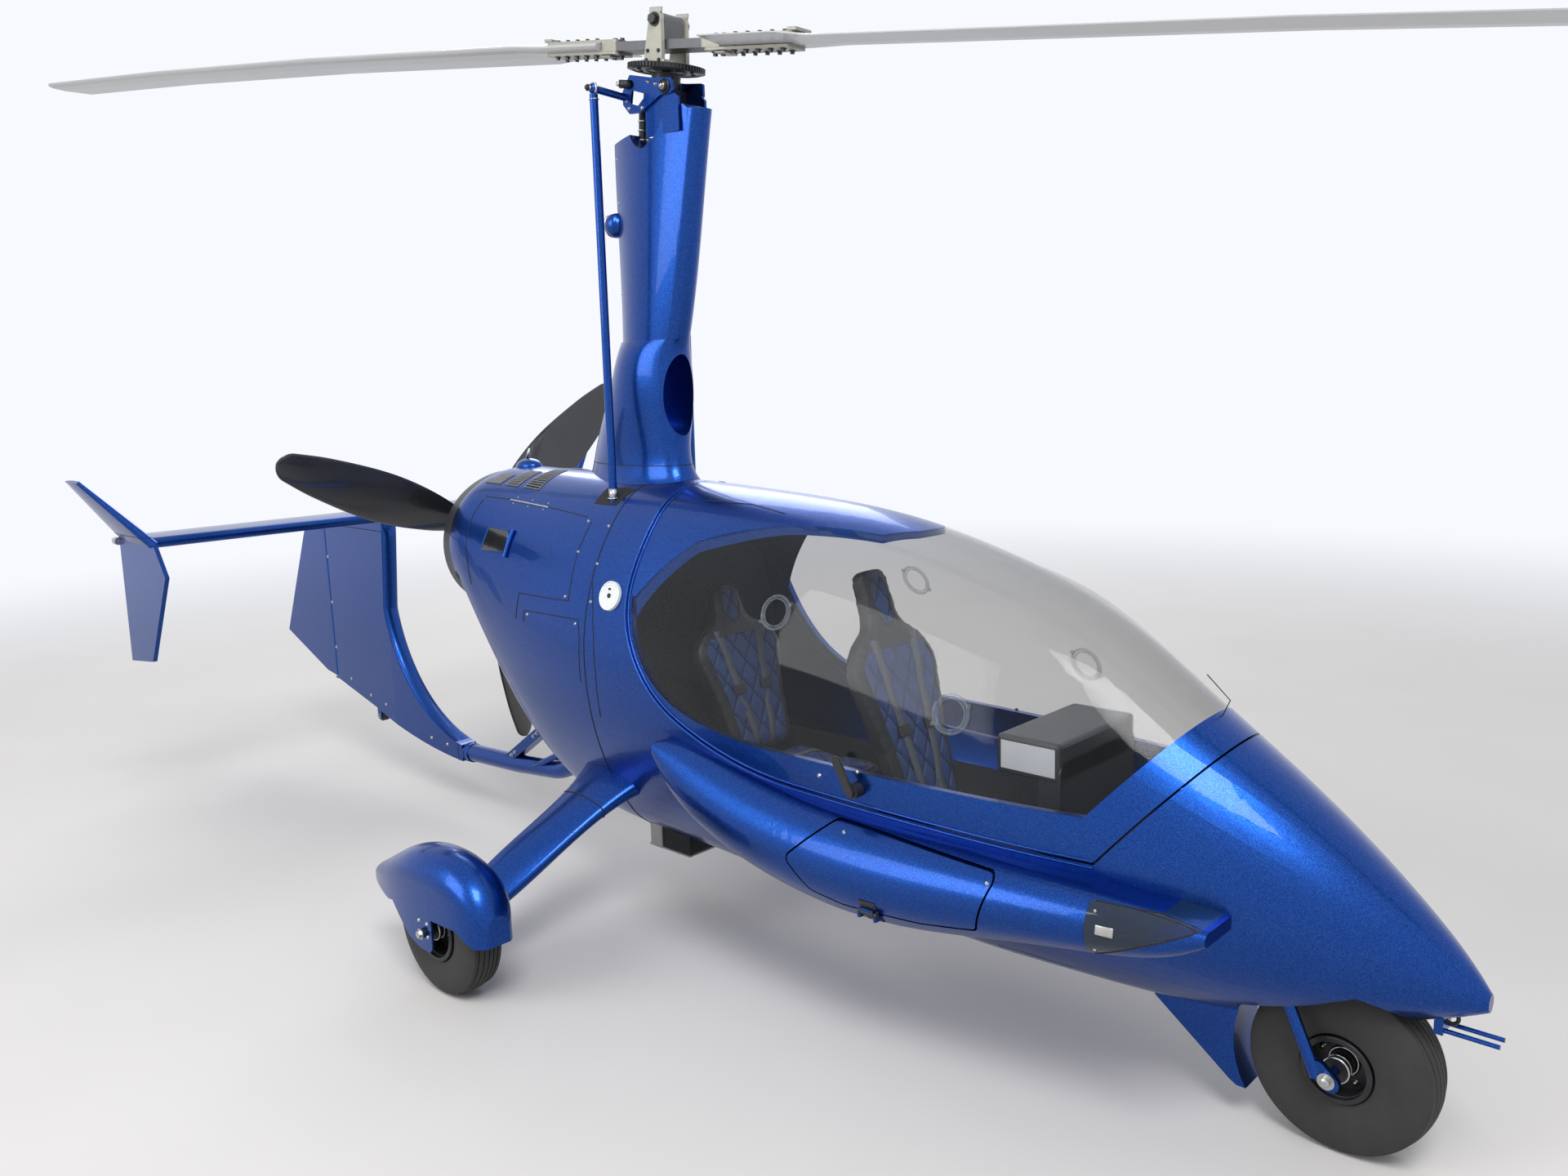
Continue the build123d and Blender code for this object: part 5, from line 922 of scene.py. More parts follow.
def smoothBetween(table, share):
    last = len(table) - 1
    k = next((j for j in range(last) if share <= table[j + 1][0]), last - 1)
    low, high = table[k], table[k + 1]
    before, after = table[max(k - 1, 0)], table[min(k + 2, last)]
    t = (share - low[0]) / (high[0] - low[0])
    values = []
    for column in range(1, len(low)):
        wide = high[0] - low[0]
        leave = (high[column] - before[column]) / (high[0] - before[0]) * wide
        arrive = (after[column] - low[column]) / (after[0] - low[0]) * wide
        values.append((2 * t ** 3 - 3 * t * t + 1) * low[column] + (t ** 3 - 2 * t * t + t) * leave
                      + (3 * t * t - 2 * t ** 3) * high[column] + (t ** 3 - t * t) * arrive)
    return values


bladeMesh = bmesh.new()
for angle in propeller["angles"]:
    place = Matrix.Translation(propeller["hub"]) @ Matrix.Rotation(-math.radians(angle), 4, "Y")
    rings = []
    for step in range(propeller["steps"] + 1):
        root = propeller["stations"][0][0]
        share = root + (1 - root) * math.sin(step / propeller["steps"] * math.pi / 2)
        chord, thick, pitch = smoothBetween(propeller["stations"], share)
        past = max(0.0, (share - 1 + propeller["round"]) / propeller["round"])
        chord *= math.sqrt(max(0.02, 1 - past * past))
        turned = Matrix.Rotation(-math.radians(pitch), 4, "Z") @ Matrix.Diagonal((chord / 2, thick / 2, 1, 1))
        made = bmesh.ops.create_circle(bladeMesh, radius=1, segments=propeller["around"], matrix=place
                                       @ Matrix.Translation((0, 0, share * propeller["radius"])) @ turned)["verts"]
        rings.append(list({edge for vert in made for edge in vert.link_edges}))
    for lower, upper in zip(rings, rings[1:]):
        bmesh.ops.bridge_loops(bladeMesh, edges=lower + upper)
    bmesh.ops.contextual_create(bladeMesh, geom=rings[0])
    bmesh.ops.contextual_create(bladeMesh, geom=rings[-1])
bmesh.ops.recalc_face_normals(bladeMesh, faces=bladeMesh.faces)
smoothBlades = newPiece("propellerBladesSmooth", bladeMesh, "carbonBlade", "propeller")
sharpen(smoothBlades, 60)
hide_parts("propeller_blades")

hubPlan = {"bolts": 6, "ring": 0.040, "face": 0.0422, "rims": ((0.056, 0.0022, 56), (0.018, 0.0040, 40))}
hubCentre, propMesh = Vector(propeller["hub"]), bmesh.new()
for k in range(hubPlan["bolts"]):
    angle = math.tau * k / hubPlan["bolts"] + 0.25
    spot = Vector((math.cos(angle) * hubPlan["ring"], hubPlan["face"], math.sin(angle) * hubPlan["ring"]))
    addNut(propMesh, hubCentre + spot, (0, 1, 0), 0.0072, 0.009)
for radius, thick, sides in hubPlan["rims"]:
    addRing(propMesh, hubCentre + Vector((0, hubPlan["face"] + 0.0003, 0)), (0, 1, 0), radius, thick, sides, 8)
newPiece("propellerBolts", propMesh, "brightSteel", "propeller", smooth=False)
print("rotor and mast dressed")


# Fin: a rounded nose along its leading edge
finNose = {"low": 0.284, "high": 1.150, "half": 0.0338, "deep": 0.017, "fade": 0.06, "beside": 0.024, "steps": 48,
           "around": 14}
finTree = surfaceOf("fin")
noseMesh = bmesh.new()
made = bmesh.ops.create_grid(noseMesh, x_segments=finNose["steps"], y_segments=finNose["around"], size=0.5)
for vert in made["verts"]:
    share = vert.co.x + 0.5
    level = finNose["low"] + (finNose["high"] - finNose["low"]) * share
    around = vert.co.y * math.pi
    swell = math.sqrt(max(0.0, min(1.0, share / finNose["fade"], (1 - share) / finNose["fade"])))
    point, normal, _, _ = finTree.ray_cast(Vector((finNose["beside"], 0.9, level)), Vector((0, 1, 0)))
    out = Vector((0, normal.y, normal.z)).normalized()
    vert.co = (Vector((finNose["half"] * math.sin(around), point.y, point.z))
               + out * (finNose["deep"] * math.cos(around) * swell - 0.0004))
faceOut(noseMesh, (0, -1, 0))
newPiece("finNose", noseMesh, "bluePaint")

# Tail: seams, bolts, tip lamps and the roller's bracket bolts

tail = {"screws": [(1.50, 0.262), (1.62, 0.268), (1.985, 0.352), (2.120, 0.372), (2.300, 0.420),
                   (2.425, 0.55), (2.425, 0.76), (2.425, 0.97)],
        "screwRadius": 0.0072, "tipLamp": (0.962, 2.222, 1.168), "lampBack": 0.022, "lampFront": 0.008,
        "lampRadius": 0.0150, "glass": 0.0135, "glassAft": 0.012, "glassLong": 1.5, "finSeam": (1.420, 1.120),
        "seamRadius": 0.0013, "wingletSeam": 1.203, "wingletRadius": 0.0012, "rollerX": 0.0222,
        "rollerNuts": (((2.068, 0.284), 0.0075, 0.007), ((2.068, 0.330), 0.0052, 0.005))}
tailMesh, lampGlass, rollerMesh, wingletRuns = bmesh.new(), bmesh.new(), bmesh.new(), []
for side, sideName in sideNames.items():
    screwRow(tailMesh, finTree, side, tail["screws"], tail["screwRadius"])
    lampSpot = Vector(tail["tipLamp"]) * Vector((side, 1, 1))
    addRod(tailMesh, lampSpot - Vector((0, tail["lampBack"], 0)), lampSpot + Vector((0, tail["lampFront"], 0)),
           tail["lampRadius"], sides=28)
    glassPlace = (Matrix.Translation(lampSpot + Vector((0, tail["glassAft"], 0)))
                  @ Matrix.Diagonal((1, tail["glassLong"], 1, 1)))
    bmesh.ops.create_uvsphere(lampGlass, u_segments=28, v_segments=14, radius=tail["glass"], matrix=glassPlace)
    wingletRuns += cutRuns("end_plate_" + sideName.lower(), (0, 0, tail["wingletSeam"]), (0, 0, 1))
    for spot, radius, height in tail["rollerNuts"]:
        addNut(rollerMesh, Vector((side * tail["rollerX"], *spot)), (side, 0, 0), radius, height)
newPiece("tailBolts", tailMesh, "brightSteel", smooth=False)
newPiece("tipLamps", lampGlass, "lampBlue")
seamY, seamZ = tail["finSeam"]
tailRuns = cutRuns("fin", (0, 0, seamZ), (0, 0, 1)) + cutRuns("fin", (0, seamY, 0), (0, 1, 0))
tubeSet("finSeams", tailRuns, tail["seamRadius"], "seamShadow", closed=True)
tubeSet("wingletSeams", wingletRuns, tail["wingletRadius"], "seamShadow", closed=True)
newPiece("rollerBolts", rollerMesh, "brightSteel", smooth=False)

# Keel: collar bands and brace bolts
keelPlan = {"collars": (1.352, 1.378), "braceFoot": (0.846, 0.438), "braceEnd": (1.075, 0.285),
            "bolts": (0.12, 0.22, 0.80, 0.90), "collarRadius": 0.0022, "bolt": (0.0062, 0.007)}
keelRuns = [run for y in keelPlan["collars"] for run in cutRuns("keel_tube", (0, y, 0), (0, 1, 0))]
tubeSet("keelCollarLines", keelRuns, keelPlan["collarRadius"], "bluePaint", "airframe", closed=True)
braceTree, braceMesh = surfaceOf("keel_braces"), bmesh.new()
for side in sideNames:
    for share in keelPlan["bolts"]:
        spot = Vector(keelPlan["braceFoot"]).lerp(Vector(keelPlan["braceEnd"]), share)
        point, normal = fromSide(braceTree, side, *spot)
        if point is not None:
            addNut(braceMesh, point, normal, *keelPlan["bolt"])
newPiece("braceBolts", braceMesh, "brightSteel", smooth=False)
print("tail dressed")


# Main gear: cuffs and end rings on the legs, spat plate bolts and axle nuts

gear = {"cuffX": 0.292, "cuffSlant": 0.25, "legEndX": 0.792,
        "plateBolts": [(0.081, 0.232), (0.123, 0.232), (0.081, 0.193), (0.123, 0.193)],
        "plateBolt": 0.0062, "axleNut": (0.9898, 0.102, 0.200), "axleNutSize": (0.0120, 0.010),
        "cuffRadius": 0.0022, "endRadius": 0.0030}
legRuns, endRuns, plateMesh = [], [], bmesh.new()
for side, sideName in sideNames.items():
    legRuns += cutRuns("gear_leg_" + sideName.lower(), (side * gear["cuffX"], 0, 0), (1, 0, -gear["cuffSlant"] * side))
    endRuns += cutRuns("gear_leg_" + sideName.lower(), (side * gear["legEndX"], 0, 0), (1, 0, 0))
    spatTree = surfaceOf("wheel_spat_" + sideName.lower())
    for y, z in gear["plateBolts"]:
        point, normal = fromSide(spatTree, side, y, z)
        if point is not None:
            addScrew(plateMesh, point, Vector((side, 0, 0)), gear["plateBolt"])
    addNut(plateMesh, Vector(gear["axleNut"]) * Vector((side, 1, 1)), (side, 0, 0), *gear["axleNutSize"])
tubeSet("legCuffs", legRuns, gear["cuffRadius"], "seamShadow", closed=True)
tubeSet("legEnds", endRuns, gear["endRadius"], "bluePaint", closed=True)
newPiece("spatBolts", plateMesh, "brightSteel", smooth=False)

# Radiator: end tanks, a plate under them and a stack of fins
radiator = {"half": 0.125, "low": 0.204, "high": 0.330, "tankMiddle": 0.079, "tankDeep": 0.058, "finMiddle": -0.0145,
            "finDeep": 0.131, "finThick": 0.0022, "pitch": 0.0062}
radMesh, finMesh = bmesh.new(), bmesh.new()
radHigh, radMiddle = radiator["high"] - radiator["low"], (radiator["high"] + radiator["low"]) / 2
for side in sideNames:
    addBlock(radMesh, (side * (radiator["half"] + 0.001), radiator["tankMiddle"], radMiddle - 0.004),
             (0.012, radiator["tankDeep"], radHigh), bevel=0.003)
addBlock(radMesh, (0, radiator["tankMiddle"] - 0.060, radiator["low"] - 0.001),
         (2 * radiator["half"] + 0.010, 0.196, 0.006), bevel=0.0015)
for k in range(int((radHigh - 0.01) / radiator["pitch"])):
    addBlock(finMesh, (0, radiator["finMiddle"], radiator["low"] + 0.008 + k * radiator["pitch"]),
             (2 * radiator["half"] + 0.006, radiator["finDeep"], radiator["finThick"]))
newPiece("radiatorTanks", radMesh, "tankGrey", smooth=False)
newPiece("radiatorFins", finMesh, "darkSteel", smooth=False)

# Eye of the pitot bracket
pitotMesh = bmesh.new()
addRing(pitotMesh, Vector((0.0, -2.275, 0.372)), (1, 0, 0), 0.013, 0.0042, 36, 10)
newPiece("pitotEye", pitotMesh, "darkAluminium")
print("gear dressed")


# Seats: padded backs and cushions with a quilted panel, its grooves darkened with painted shade, piping, belts and a
# base

seatPlan = {
    "front": {"node": "front_seat", "hip": (0, -0.960, 0.470), "tall": 0.76, "wide": 0.40, "lean": 18},
    "rear": {"node": "rear_seat", "hip": (0, -0.300, 0.560), "tall": 0.56, "wide": 0.40, "lean": 18},
}
padPlan = {"thick": 0.044, "voxel": 0.0075, "pressure": 4.0, "cap": 0.010, "frames": 20, "fill": 0.7, "shrink": 0.010,
           "quilt": 0.056, "groove": 0.0046, "grooveWidth": 0.0060, "grooveShadeWidth": 0.0024, "cushionLength": 0.38,
           "cushionHigh": 0.062, "floor": 0.300}
panelPlan = {"low": 0.05, "high": 0.68, "edge": 0.048, "crownLow": 0.755, "crownHigh": 0.955, "crownMiddle": 0.86,
             "crownReach": 0.13, "crownHalf": 0.034, "cushionHalf": 0.135, "cushionFront": -0.335,
             "cushionRear": -0.035}
# Belts: their first point on the pad and the step to the next, as across and along
beltPlan = {"wide": 0.028, "thick": 0.0022, "lift": 0.0030, "points": 11, "shoulder": ((0.030, 0.04), (0.0055, 0.068)),
            "lap": ((0.020, -0.075), (0.0145, -0.004)), "clip": (0.052, 0.030, 0.006), "clipLift": 0.003,
            "buckle": (0.060, 0.060, 0.012), "buckleAt": (0, -0.075), "buckleLift": 0.006, "piping": 0.0030}
outlineShares = [(0.70, 0.0), (0.80, 0.34), (1.0, 0.62), (0.78, 0.72), (0.40, 0.78), (0.30, 1.0)]


def applyAll(piece):
    bpy.context.view_layer.update()
    graph = bpy.context.evaluated_depsgraph_get()
    data = bpy.data.meshes.new_from_object(piece.evaluated_get(graph))
    old = piece.data
    piece.modifiers.clear()
    piece.data = data
    bpy.data.meshes.remove(old)


def inflate(piece):
    remesh = piece.modifiers.new("remesh", "REMESH")
    remesh.mode = "VOXEL"
    remesh.voxel_size = padPlan["voxel"] * 1.0
    applyAll(piece)
    rest = [vert.co.copy() for vert in piece.data.vertices]
    cloth = piece.modifiers.new("cloth", "CLOTH")
    cloth.settings.use_pressure = True
    cloth.settings.uniform_pressure_force = padPlan["pressure"]
    cloth.settings.effector_weights.gravity = 0
    for frameNumber in range(1, padPlan["frames"] + 1):
        bpy.context.scene.frame_set(frameNumber)
    applyAll(piece)
    for vert, start in zip(piece.data.vertices, rest):
        move = vert.co - start
        if move.length > padPlan["cap"]:
            vert.co = start + move.normalized() * padPlan["cap"]
    bpy.context.scene.frame_set(1)
    fine = piece.modifiers.new("fine", "SUBSURF")
    fine.levels = fine.render_levels = 1
    applyAll(piece)


def halfWidth(share, wide):
    for (low, start), (high, end) in zip(outlineShares, outlineShares[1:]):
        if start <= share <= end:
            return (low + (high - low) * (share - start) / (end - start)) * wide / 2
    return 0.0


def crownWidth(share):      # half width of the head rest's panel
    return panelPlan["crownHalf"] * (1 - ((share - panelPlan["crownMiddle"]) / panelPlan["crownReach"]) ** 2)


def backPanel(u, v, tall, wide):        # inside the quilted part of a seat back, in the back's own plane
    share = v / tall
    if panelPlan["low"] < share < panelPlan["high"]:
        return abs(u) < halfWidth(share, wide) - panelPlan["edge"]
    return panelPlan["crownLow"] < share < panelPlan["crownHigh"] and abs(u) < crownWidth(share)


def cushionPanel(u, v):
    return abs(u) < panelPlan["cushionHalf"] and panelPlan["cushionFront"] < v < panelPlan["cushionRear"]


def quilt(piece, place, inside):
    inverse = place.inverted()
    spacing, half = padPlan["quilt"], padPlan["grooveWidth"]

    def fromSeam(spot):
        first = (spot.x * 0.82 + spot.y * 0.57) % spacing
        second = (spot.x * 0.82 - spot.y * 0.57) % spacing
        return min(first, spacing - first, second, spacing - second)

    moves = []
    for vert in piece.data.vertices:
        spot = inverse @ vert.co
        if spot.z > 0 and inside(spot.x, spot.y) and (inverse.to_3x3() @ vert.normal).z > 0.4:
            moves.append((vert, vert.normal * (padPlan["groove"] * math.exp(-(fromSeam(spot) / half) ** 2))))
    for vert, move in moves:
        vert.co -= move
    piece.data.materials.clear()
    for look in ("blackLeather", "blueQuilt", "quiltGrooveShade"):
        piece.data.materials.append(finish[look])
    for face in piece.data.polygons:
        spot = inverse @ face.center
        front = spot.z > 0 and (inverse.to_3x3() @ face.normal).z > 0.25
        panelled = front and inside(spot.x, spot.y)
        # faces close to a quilt line take the darker blue, which is painted shade in the grooves
        face.material_index = (2 if fromSeam(spot) < padPlan["grooveShadeWidth"] else 1) if panelled else 0
        face.use_smooth = True


def onPad(tree, place, spots, lift=0.0):
    direction = place.to_3x3() @ Vector((0, 0, -1))
    points = [tree.ray_cast(place @ Vector((u, v, 0.4)), direction)[0] for u, v in spots]
    return [point - direction * lift for point in points if point]


def beltSpots(route, side, long=1.0):
    (across, along), (nextAcross, nextAlong) = beltPlan[route]
    return [(side * (across + nextAcross * s), long * (along + nextAlong * s)) for s in range(beltPlan["points"])]


def mirrored(spots):
    return spots + [(-u, v) for u, v in reversed(spots)]


def ribbon(name, path, across):
    wing = across * beltPlan["wide"] / 2
    mesh = bmesh.new()
    edge = mesh.edges.new([mesh.verts.new(path[0] - wing), mesh.verts.new(path[0] + wing)])
    for point in path[1:]:
        made = bmesh.ops.extrude_edge_only(mesh, edges=[edge])["geom"]
        fresh = [part for part in made if isinstance(part, bmesh.types.BMVert)]
        edge = next(part for part in made if isinstance(part, bmesh.types.BMEdge) and set(part.verts) == set(fresh))
        fresh.sort(key=lambda vert: vert.co.dot(across))
        fresh[0].co, fresh[1].co = point - wing, point + wing
    bmesh.ops.recalc_face_normals(mesh, faces=mesh.faces)
    bmesh.ops.solidify(mesh, geom=mesh.faces[:], thickness=beltPlan["thick"])
    bmesh.ops.recalc_face_normals(mesh, faces=mesh.faces)
    newPiece(name, mesh, "beltGrey")


for seatName, plan in seatPlan.items():
    lean = math.radians(plan["lean"])
    tall, wide = plan["tall"], plan["wide"]
    upward = Vector((0, math.sin(lean), math.cos(lean)))
    outward = Vector((0, -math.cos(lean), math.sin(lean)))
    backPlace = Matrix.Translation(plan["hip"]) @ Matrix(((1, 0, 0), upward, outward)).transposed().to_4x4()
    shrink = padPlan["shrink"]
    rim = mirrored([(share * wide / 2 - shrink, level * tall + {0: shrink, 1: -shrink}.get(level, 0))
                    for share, level in outlineShares])
    mesh = bmesh.new()
    face = mesh.faces.new([mesh.verts.new(backPlace @ Vector((u, v, -padPlan["thick"] / 2))) for u, v in rim])
    made = bmesh.ops.extrude_face_region(mesh, geom=[face])["geom"]
    lifted = [part for part in made if isinstance(part, bmesh.types.BMVert)]
    bmesh.ops.translate(mesh, vec=outward * padPlan["thick"], verts=lifted)
    bmesh.ops.recalc_face_normals(mesh, faces=mesh.faces)
    sides = [edge for edge in mesh.edges if abs((edge.verts[1].co - edge.verts[0].co).normalized().dot(outward)) > 0.9]
    bmesh.ops.bevel(mesh, geom=sides, offset=0.030, segments=4, profile=0.5, affect="EDGES", material=-1)
    back = newPiece(seatName + "SeatBack", mesh, "blackLeather")

    hip, long = Vector(plan["hip"]), padPlan["cushionLength"]
    seatPlace = Matrix.Translation(hip + Vector((0, 0, -0.04)))
    mesh = bmesh.new()
    cushionSize = (0.9 * wide - 0.02, long - 0.02, padPlan["cushionHigh"])
    addBlock(mesh, hip + Vector((0, 0.016 - long / 2, -0.040)), cushionSize, bevel=0.018)
    cushion = newPiece(seatName + "SeatCushion", mesh, "blackLeather")
    for pad, place, inside in ((back, backPlace, lambda u, v: backPanel(u, v, tall, wide)),
                               (cushion, seatPlace, cushionPanel)):
        inflate(pad)
        quilt(pad, place, inside)

    baseMesh = bmesh.new()
    baseHigh = hip.z - 0.078 - padPlan["floor"]
    middle = (0, hip.y + 0.02 - long / 2, padPlan["floor"] + baseHigh / 2)
    addBlock(baseMesh, middle, (0.62 * wide, 0.8 * long, baseHigh), bevel=0.008)
    base = newPiece(seatName + "SeatBase", baseMesh, "cabinLining", smooth=False)
    for piece in (back, cushion, base):
        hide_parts(plan["node"])

    backTree, cushionTree = treeOf(back.data), treeOf(cushion.data)
    panelEdge = mirrored([(halfWidth(s / 100, wide) - panelPlan["edge"], s / 100 * tall) for s in range(6, 68, 2)])
    crown = mirrored([(crownWidth(s / 200), s / 200 * tall) for s in range(152, 191, 3)])
    half, front, rear = panelPlan["cushionHalf"], panelPlan["cushionFront"], panelPlan["cushionRear"]
    border = spaced([(half, front), (half, rear), (-half, rear), (-half, front), (half, front)], 0.012)
    piping = [onPad(backTree, backPlace, loop + loop[:1]) for loop in (panelEdge, crown)]
    piping.append(onPad(cushionTree, seatPlace, border))
    tubeSet(seatName + "SeatPiping", piping, beltPlan["piping"], "blackLeather")

    bright = bmesh.new()
    for side, sideName in sideNames.items():
        shoulder = onPad(backTree, backPlace, beltSpots("shoulder", side, tall), beltPlan["lift"])
        if len(shoulder) > 3:
            ribbon(f"{seatName}ShoulderBelt{sideName}", shoulder, Vector((1, 0, 0)))
            clip = shoulder[len(shoulder) // 2] + outward * beltPlan["clipLift"]
            addBlock(bright, (0, 0, 0), beltPlan["clip"], standOn(clip, outward, (1, 0, 0)), 0.0012)
        lap = onPad(cushionTree, seatPlace, beltSpots("lap", side), beltPlan["lift"])
        if len(lap) > 3:
            ribbon(f"{seatName}LapBelt{sideName}", lap, Vector((0, 1, 0)))
    buckle = onPad(cushionTree, seatPlace, [beltPlan["buckleAt"]], beltPlan["buckleLift"])[0]
    addBlock(bright, buckle, beltPlan["buckle"], bevel=0.003)
    newPiece(seatName + "BeltClips", bright, "blackPlastic", smooth=False)
print("seats made")


# Dark lining over the hull's inner faces below the sill
liningPlan = {"front": -1.66, "rear": -0.03, "top": 0.555, "lift": 0.0015}
lining = mergedCopy("fuselage")
cutPlane(lining, (0, 0, liningPlan["top"]), (0, 0, 1))
away = []
for face in lining.faces:
    spot, normal = face.calc_center_median(), face.normal
    inward = normal.x * spot.x < -0.2 * abs(spot.x) or (normal.z > 0.3 and abs(spot.x) < 0.30)
    if not inward or spot.z > liningPlan["top"] or not liningPlan["front"] < spot.y < liningPlan["rear"]:
        away.append(face)
bmesh.ops.delete(lining, geom=away, context="FACES")
for vert in lining.verts:
    vert.co += vert.normal * liningPlan["lift"]
newPiece("hullLining", lining, "cabinLining")

# Instrument panel: bezels, dials, a screen, switches and a blank card; stick grip

panel = {
    "aftY": -1.3998, "screen": (0.0, 0.715, 0.120, 0.085), "marks": 12, "switches": 6,
    "firstSwitch": (-0.075, 0.628), "switchPitch": 0.030,
    "dials": [(-0.115, 0.735, 0.036), (0.115, 0.735, 0.036), (-0.115, 0.655, 0.026), (0.115, 0.655, 0.026)],
    "hood": {"centre": (0, -1.371, 0.795), "size": (0.362, 0.178, 0.100), "card": (0.0016, 0.150, 0.070)},
    "grip": {"y": -1.365, "low": 0.515, "rings": 7, "pitch": 0.014, "top": 0.622},
}
bezelMesh, faceMesh, markMesh = bmesh.new(), bmesh.new(), bmesh.new()
for x, z, radius in panel["dials"]:
    spot = Vector((x, panel["aftY"], z))
    addRing(bezelMesh, spot + Vector((0, 0.002, 0)), (0, 1, 0), radius, 0.0035, 40, 8)
    addDisc(faceMesh, spot + Vector((0, 0.001, 0)), (0, 1, 0), radius * 0.96, 0.0015, radius * 0.96, 40)
    for k in range(panel["marks"]):
        angle = math.tau * k / panel["marks"]
        spoke = Vector((math.cos(angle) * radius * 0.82, 0.0024, math.sin(angle) * radius * 0.82))
        place = Matrix.Translation(spot + spoke) @ Matrix.Rotation(-angle, 4, "Y")
        addBlock(markMesh, (0, 0, 0), (radius * 0.16, 0.0012, 0.0016), place)
    needle = Matrix.Translation(spot + Vector((radius * 0.20, 0.003, radius * 0.18))) @ Matrix.Rotation(-0.75, 4, "Y")
    addBlock(markMesh, (0, 0, 0), (radius * 0.62, 0.0014, 0.0018), needle)
x, z, across, high = panel["screen"]
addBlock(bezelMesh, (x, panel["aftY"] + 0.003, z), (across + 0.014, 0.008, high + 0.014), bevel=0.003)
addBlock(faceMesh, (x, panel["aftY"] + 0.0078, z), (across, 0.0012, high), bevel=0.0004)
for k in range(panel["switches"]):
    spot = Vector((panel["firstSwitch"][0] + panel["switchPitch"] * k, panel["aftY"], panel["firstSwitch"][1]))
    addRod(bezelMesh, spot, spot + Vector((0, 0.012, 0.004)), 0.0032, 0.0026, 12)
    addDisc(bezelMesh, spot, (0, 1, 0), 0.0060, 0.003, 0.005, 16)
newPiece("panelBezels", bezelMesh, "blackPlastic", smooth=False)
newPiece("panelFaces", faceMesh, "smokedPanel", smooth=False)
newPiece("panelMarks", markMesh, "whitePlastic", smooth=False)
hood = panel["hood"]
hoodMesh, cardMesh = bmesh.new(), bmesh.new()
addBlock(hoodMesh, hood["centre"], hood["size"], bevel=0.010)
newPiece("instrumentHood", hoodMesh, "darkGreyPlastic", smooth=False)
cheek = hood["centre"][0] - hood["size"][0] / 2
addBlock(cardMesh, (cheek - 0.0006, hood["centre"][1], hood["centre"][2] + 0.002), hood["card"], bevel=0.0005)
newPiece("panelCard", cardMesh, "cardWhite", smooth=False)
grip, gripMesh = panel["grip"], bmesh.new()
for k in range(grip["rings"]):
    addRing(gripMesh, (0, grip["y"], grip["low"] + grip["pitch"] * k), (0, 0, 1), 0.0165, 0.0032, 28, 8)
addDisc(gripMesh, (0, grip["y"], grip["top"]), (0, 0.2, 1), 0.0175, 0.010, 0.013, 24)
addBlock(gripMesh, (0, grip["y"] + 0.017, grip["top"] - 0.016), (0.010, 0.008, 0.014), bevel=0.002)
newPiece("stickGrip", gripMesh, "blackPlastic")
print("cabin dressed")


# Floor, camera and lights

stage = {"floorSize": 60, "fade": (3.5, 11.0), "sky": (0.93, 0.95, 1.0), "skyStrength": 0.62, "seen": 1.0}


def seenRays(nodes, links):     # 1 where the background is looked at, straight on, in metal or through glass
    rays = addNode(nodes, "LightPath").outputs
    direct = addMaths(nodes, links, "MAXIMUM", rays["Is Camera Ray"], rays["Is Glossy Ray"])
    return addMaths(nodes, links, "MAXIMUM", direct, rays["Is Transmission Ray"])


def floorMaterial():
    material, nodes, links, shader, colour, place = makeMaterial("floorFading", plainLooks["floorPale"])
    reach = addNode(nodes, "VectorMath", operation="LENGTH")
    links.new(place, reach.inputs[0])
    fade = addNode(nodes, "MapRange", {"From Min": stage["fade"][0], "From Max": stage["fade"][1]},
                   interpolation_type="SMOOTHSTEP")
    links.new(reach.outputs["Value"], fade.inputs["Value"])
    share = addMaths(nodes, links, "MULTIPLY", fade.outputs["Result"], seenRays(nodes, links))
    pale = addNode(nodes, "Emission", {"Color": (*stage["sky"], 1), "Strength": stage["seen"]})
    mixed = addNode(nodes, "MixShader")
    for socket, source in zip(mixed.inputs, (share, shader.outputs["BSDF"], pale.outputs["Emission"])):
        links.new(source, socket)
    links.new(mixed.outputs["Shader"], nodes["Material Output"].inputs["Surface"])
    return material


bpy.ops.mesh.primitive_plane_add(size=stage["floorSize"])
floor = bpy.context.object
floor.name = "floor"
floor.data.materials.append(floorMaterial())

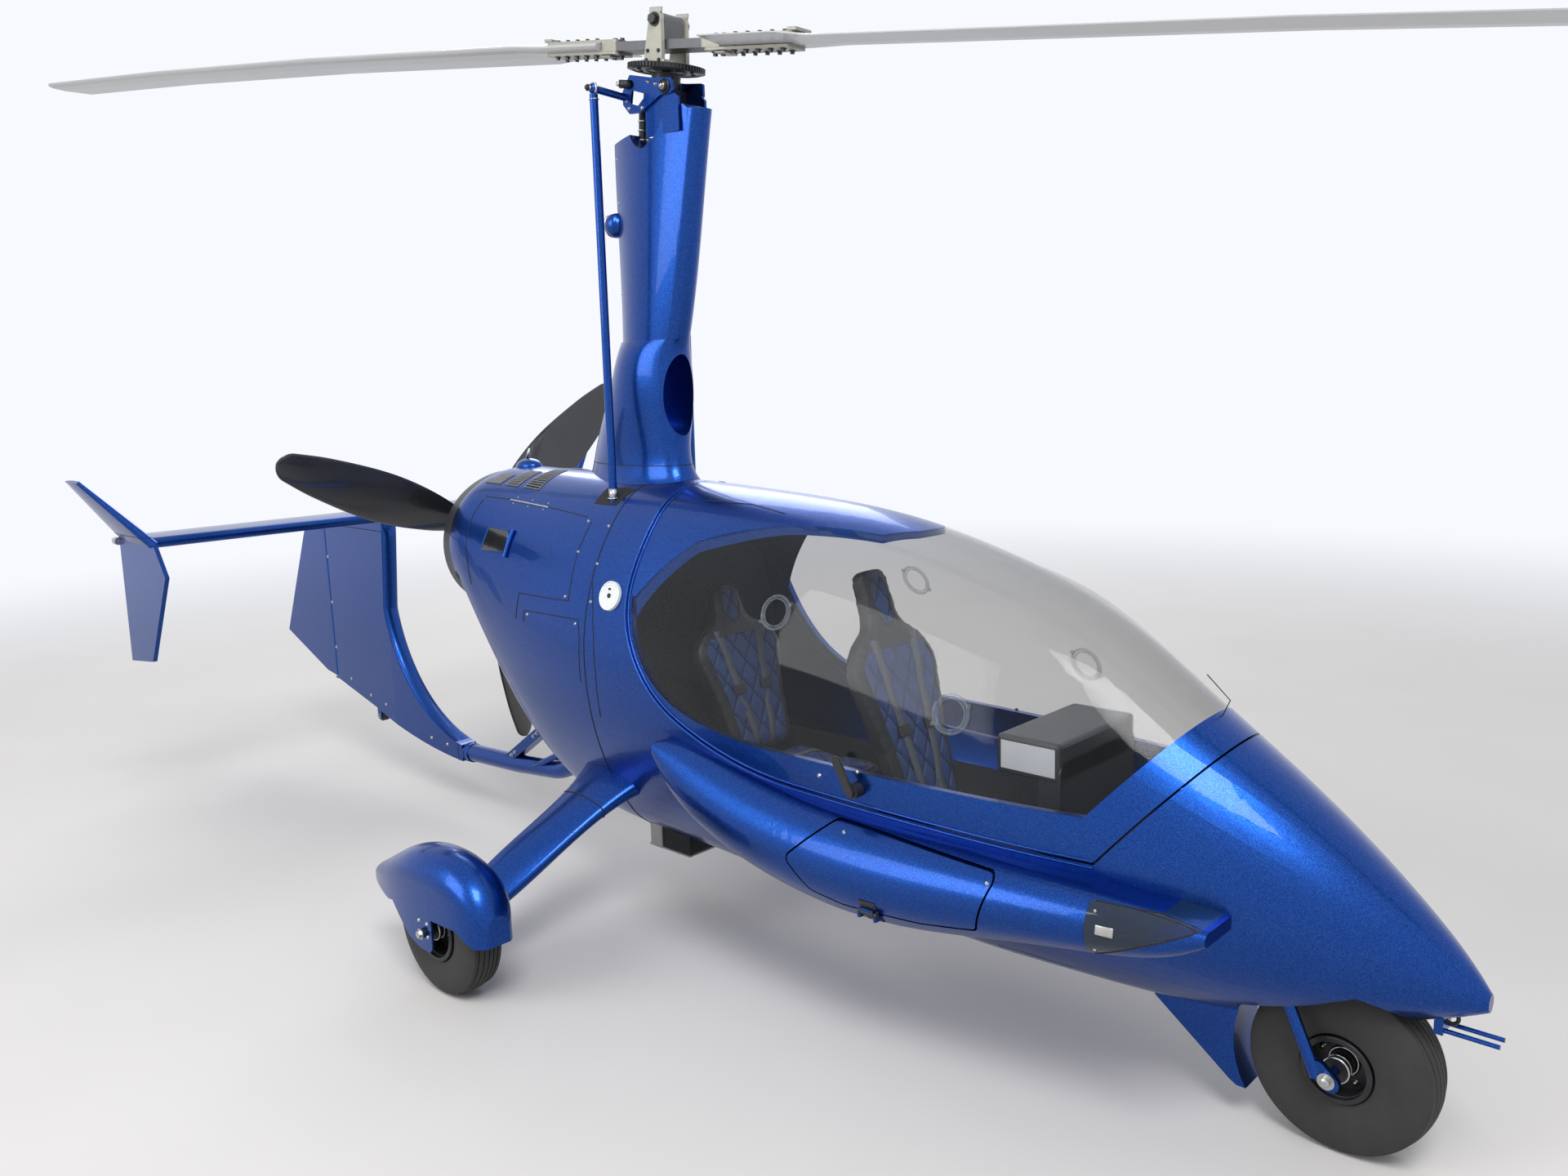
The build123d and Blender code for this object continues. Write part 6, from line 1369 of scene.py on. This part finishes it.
world = bpy.data.worlds.new("studio")
bpy.context.scene.world = world
world.use_nodes = True
skyNodes, skyLinks = world.node_tree.nodes, world.node_tree.links
strength = addRange(skyNodes, skyLinks, seenRays(skyNodes, skyLinks),
                    {"To Min": stage["skyStrength"], "To Max": stage["seen"]})
setInputs(skyNodes["Background"], {"Color": (*stage["sky"], 1)})
skyLinks.new(strength, skyNodes["Background"].inputs["Strength"])

shot = {"place": (-2.6463, -2.9282, 1.7225), "yaw": 0.8104, "pitch": 0.1704, "roll": -0.0311, "focal": 28.495,
        "sensor": 36}
yaw, pitch, roll = shot["yaw"], shot["pitch"], shot["roll"]
ahead = Vector((math.sin(yaw) * math.cos(pitch), math.cos(yaw) * math.cos(pitch), -math.sin(pitch)))
level = Vector((math.cos(yaw), -math.sin(yaw), 0))
upright = level.cross(ahead)
right = level * math.cos(roll) + upright * math.sin(roll)
up = upright * math.cos(roll) - level * math.sin(roll)
cameraData = bpy.data.cameras.new("camera")
cameraData.lens = shot["focal"]
cameraData.sensor_width = shot["sensor"]
camera = bpy.data.objects.new("camera", cameraData)
bpy.context.collection.objects.link(camera)
camera.matrix_world = Matrix.Translation(shot["place"]) @ Matrix((right, up, -ahead)).transposed().to_4x4()
bpy.context.scene.camera = camera

lampPlan = {
    "sunPanel": {"place": (-3.5, -4.5, 7.0), "aim": (0, -0.4, 0.8), "size": 3.0, "power": 400},
    "sidePanel": {"place": (-6.5, 2.0, 4.0), "aim": (0, 0, 1.0), "size": 4.0, "power": 200},
    "backPanel": {"place": (4.5, 5.0, 5.5), "aim": (0, 0.5, 1.2), "size": 4.0, "power": 190},
}
for name, lamp in lampPlan.items():
    light = bpy.data.lights.new(name, "AREA")
    light.energy = lamp["power"]
    light.size = lamp["size"]
    holder = bpy.data.objects.new(name, light)
    bpy.context.collection.objects.link(holder)
    aim = Vector(lamp["aim"]) - Vector(lamp["place"])
    holder.matrix_world = Matrix.Translation(lamp["place"]) @ aim.to_track_quat("-Z", "Y").to_matrix().to_4x4()
bpy.context.scene.view_settings.view_transform = "Standard"
print("stage set")
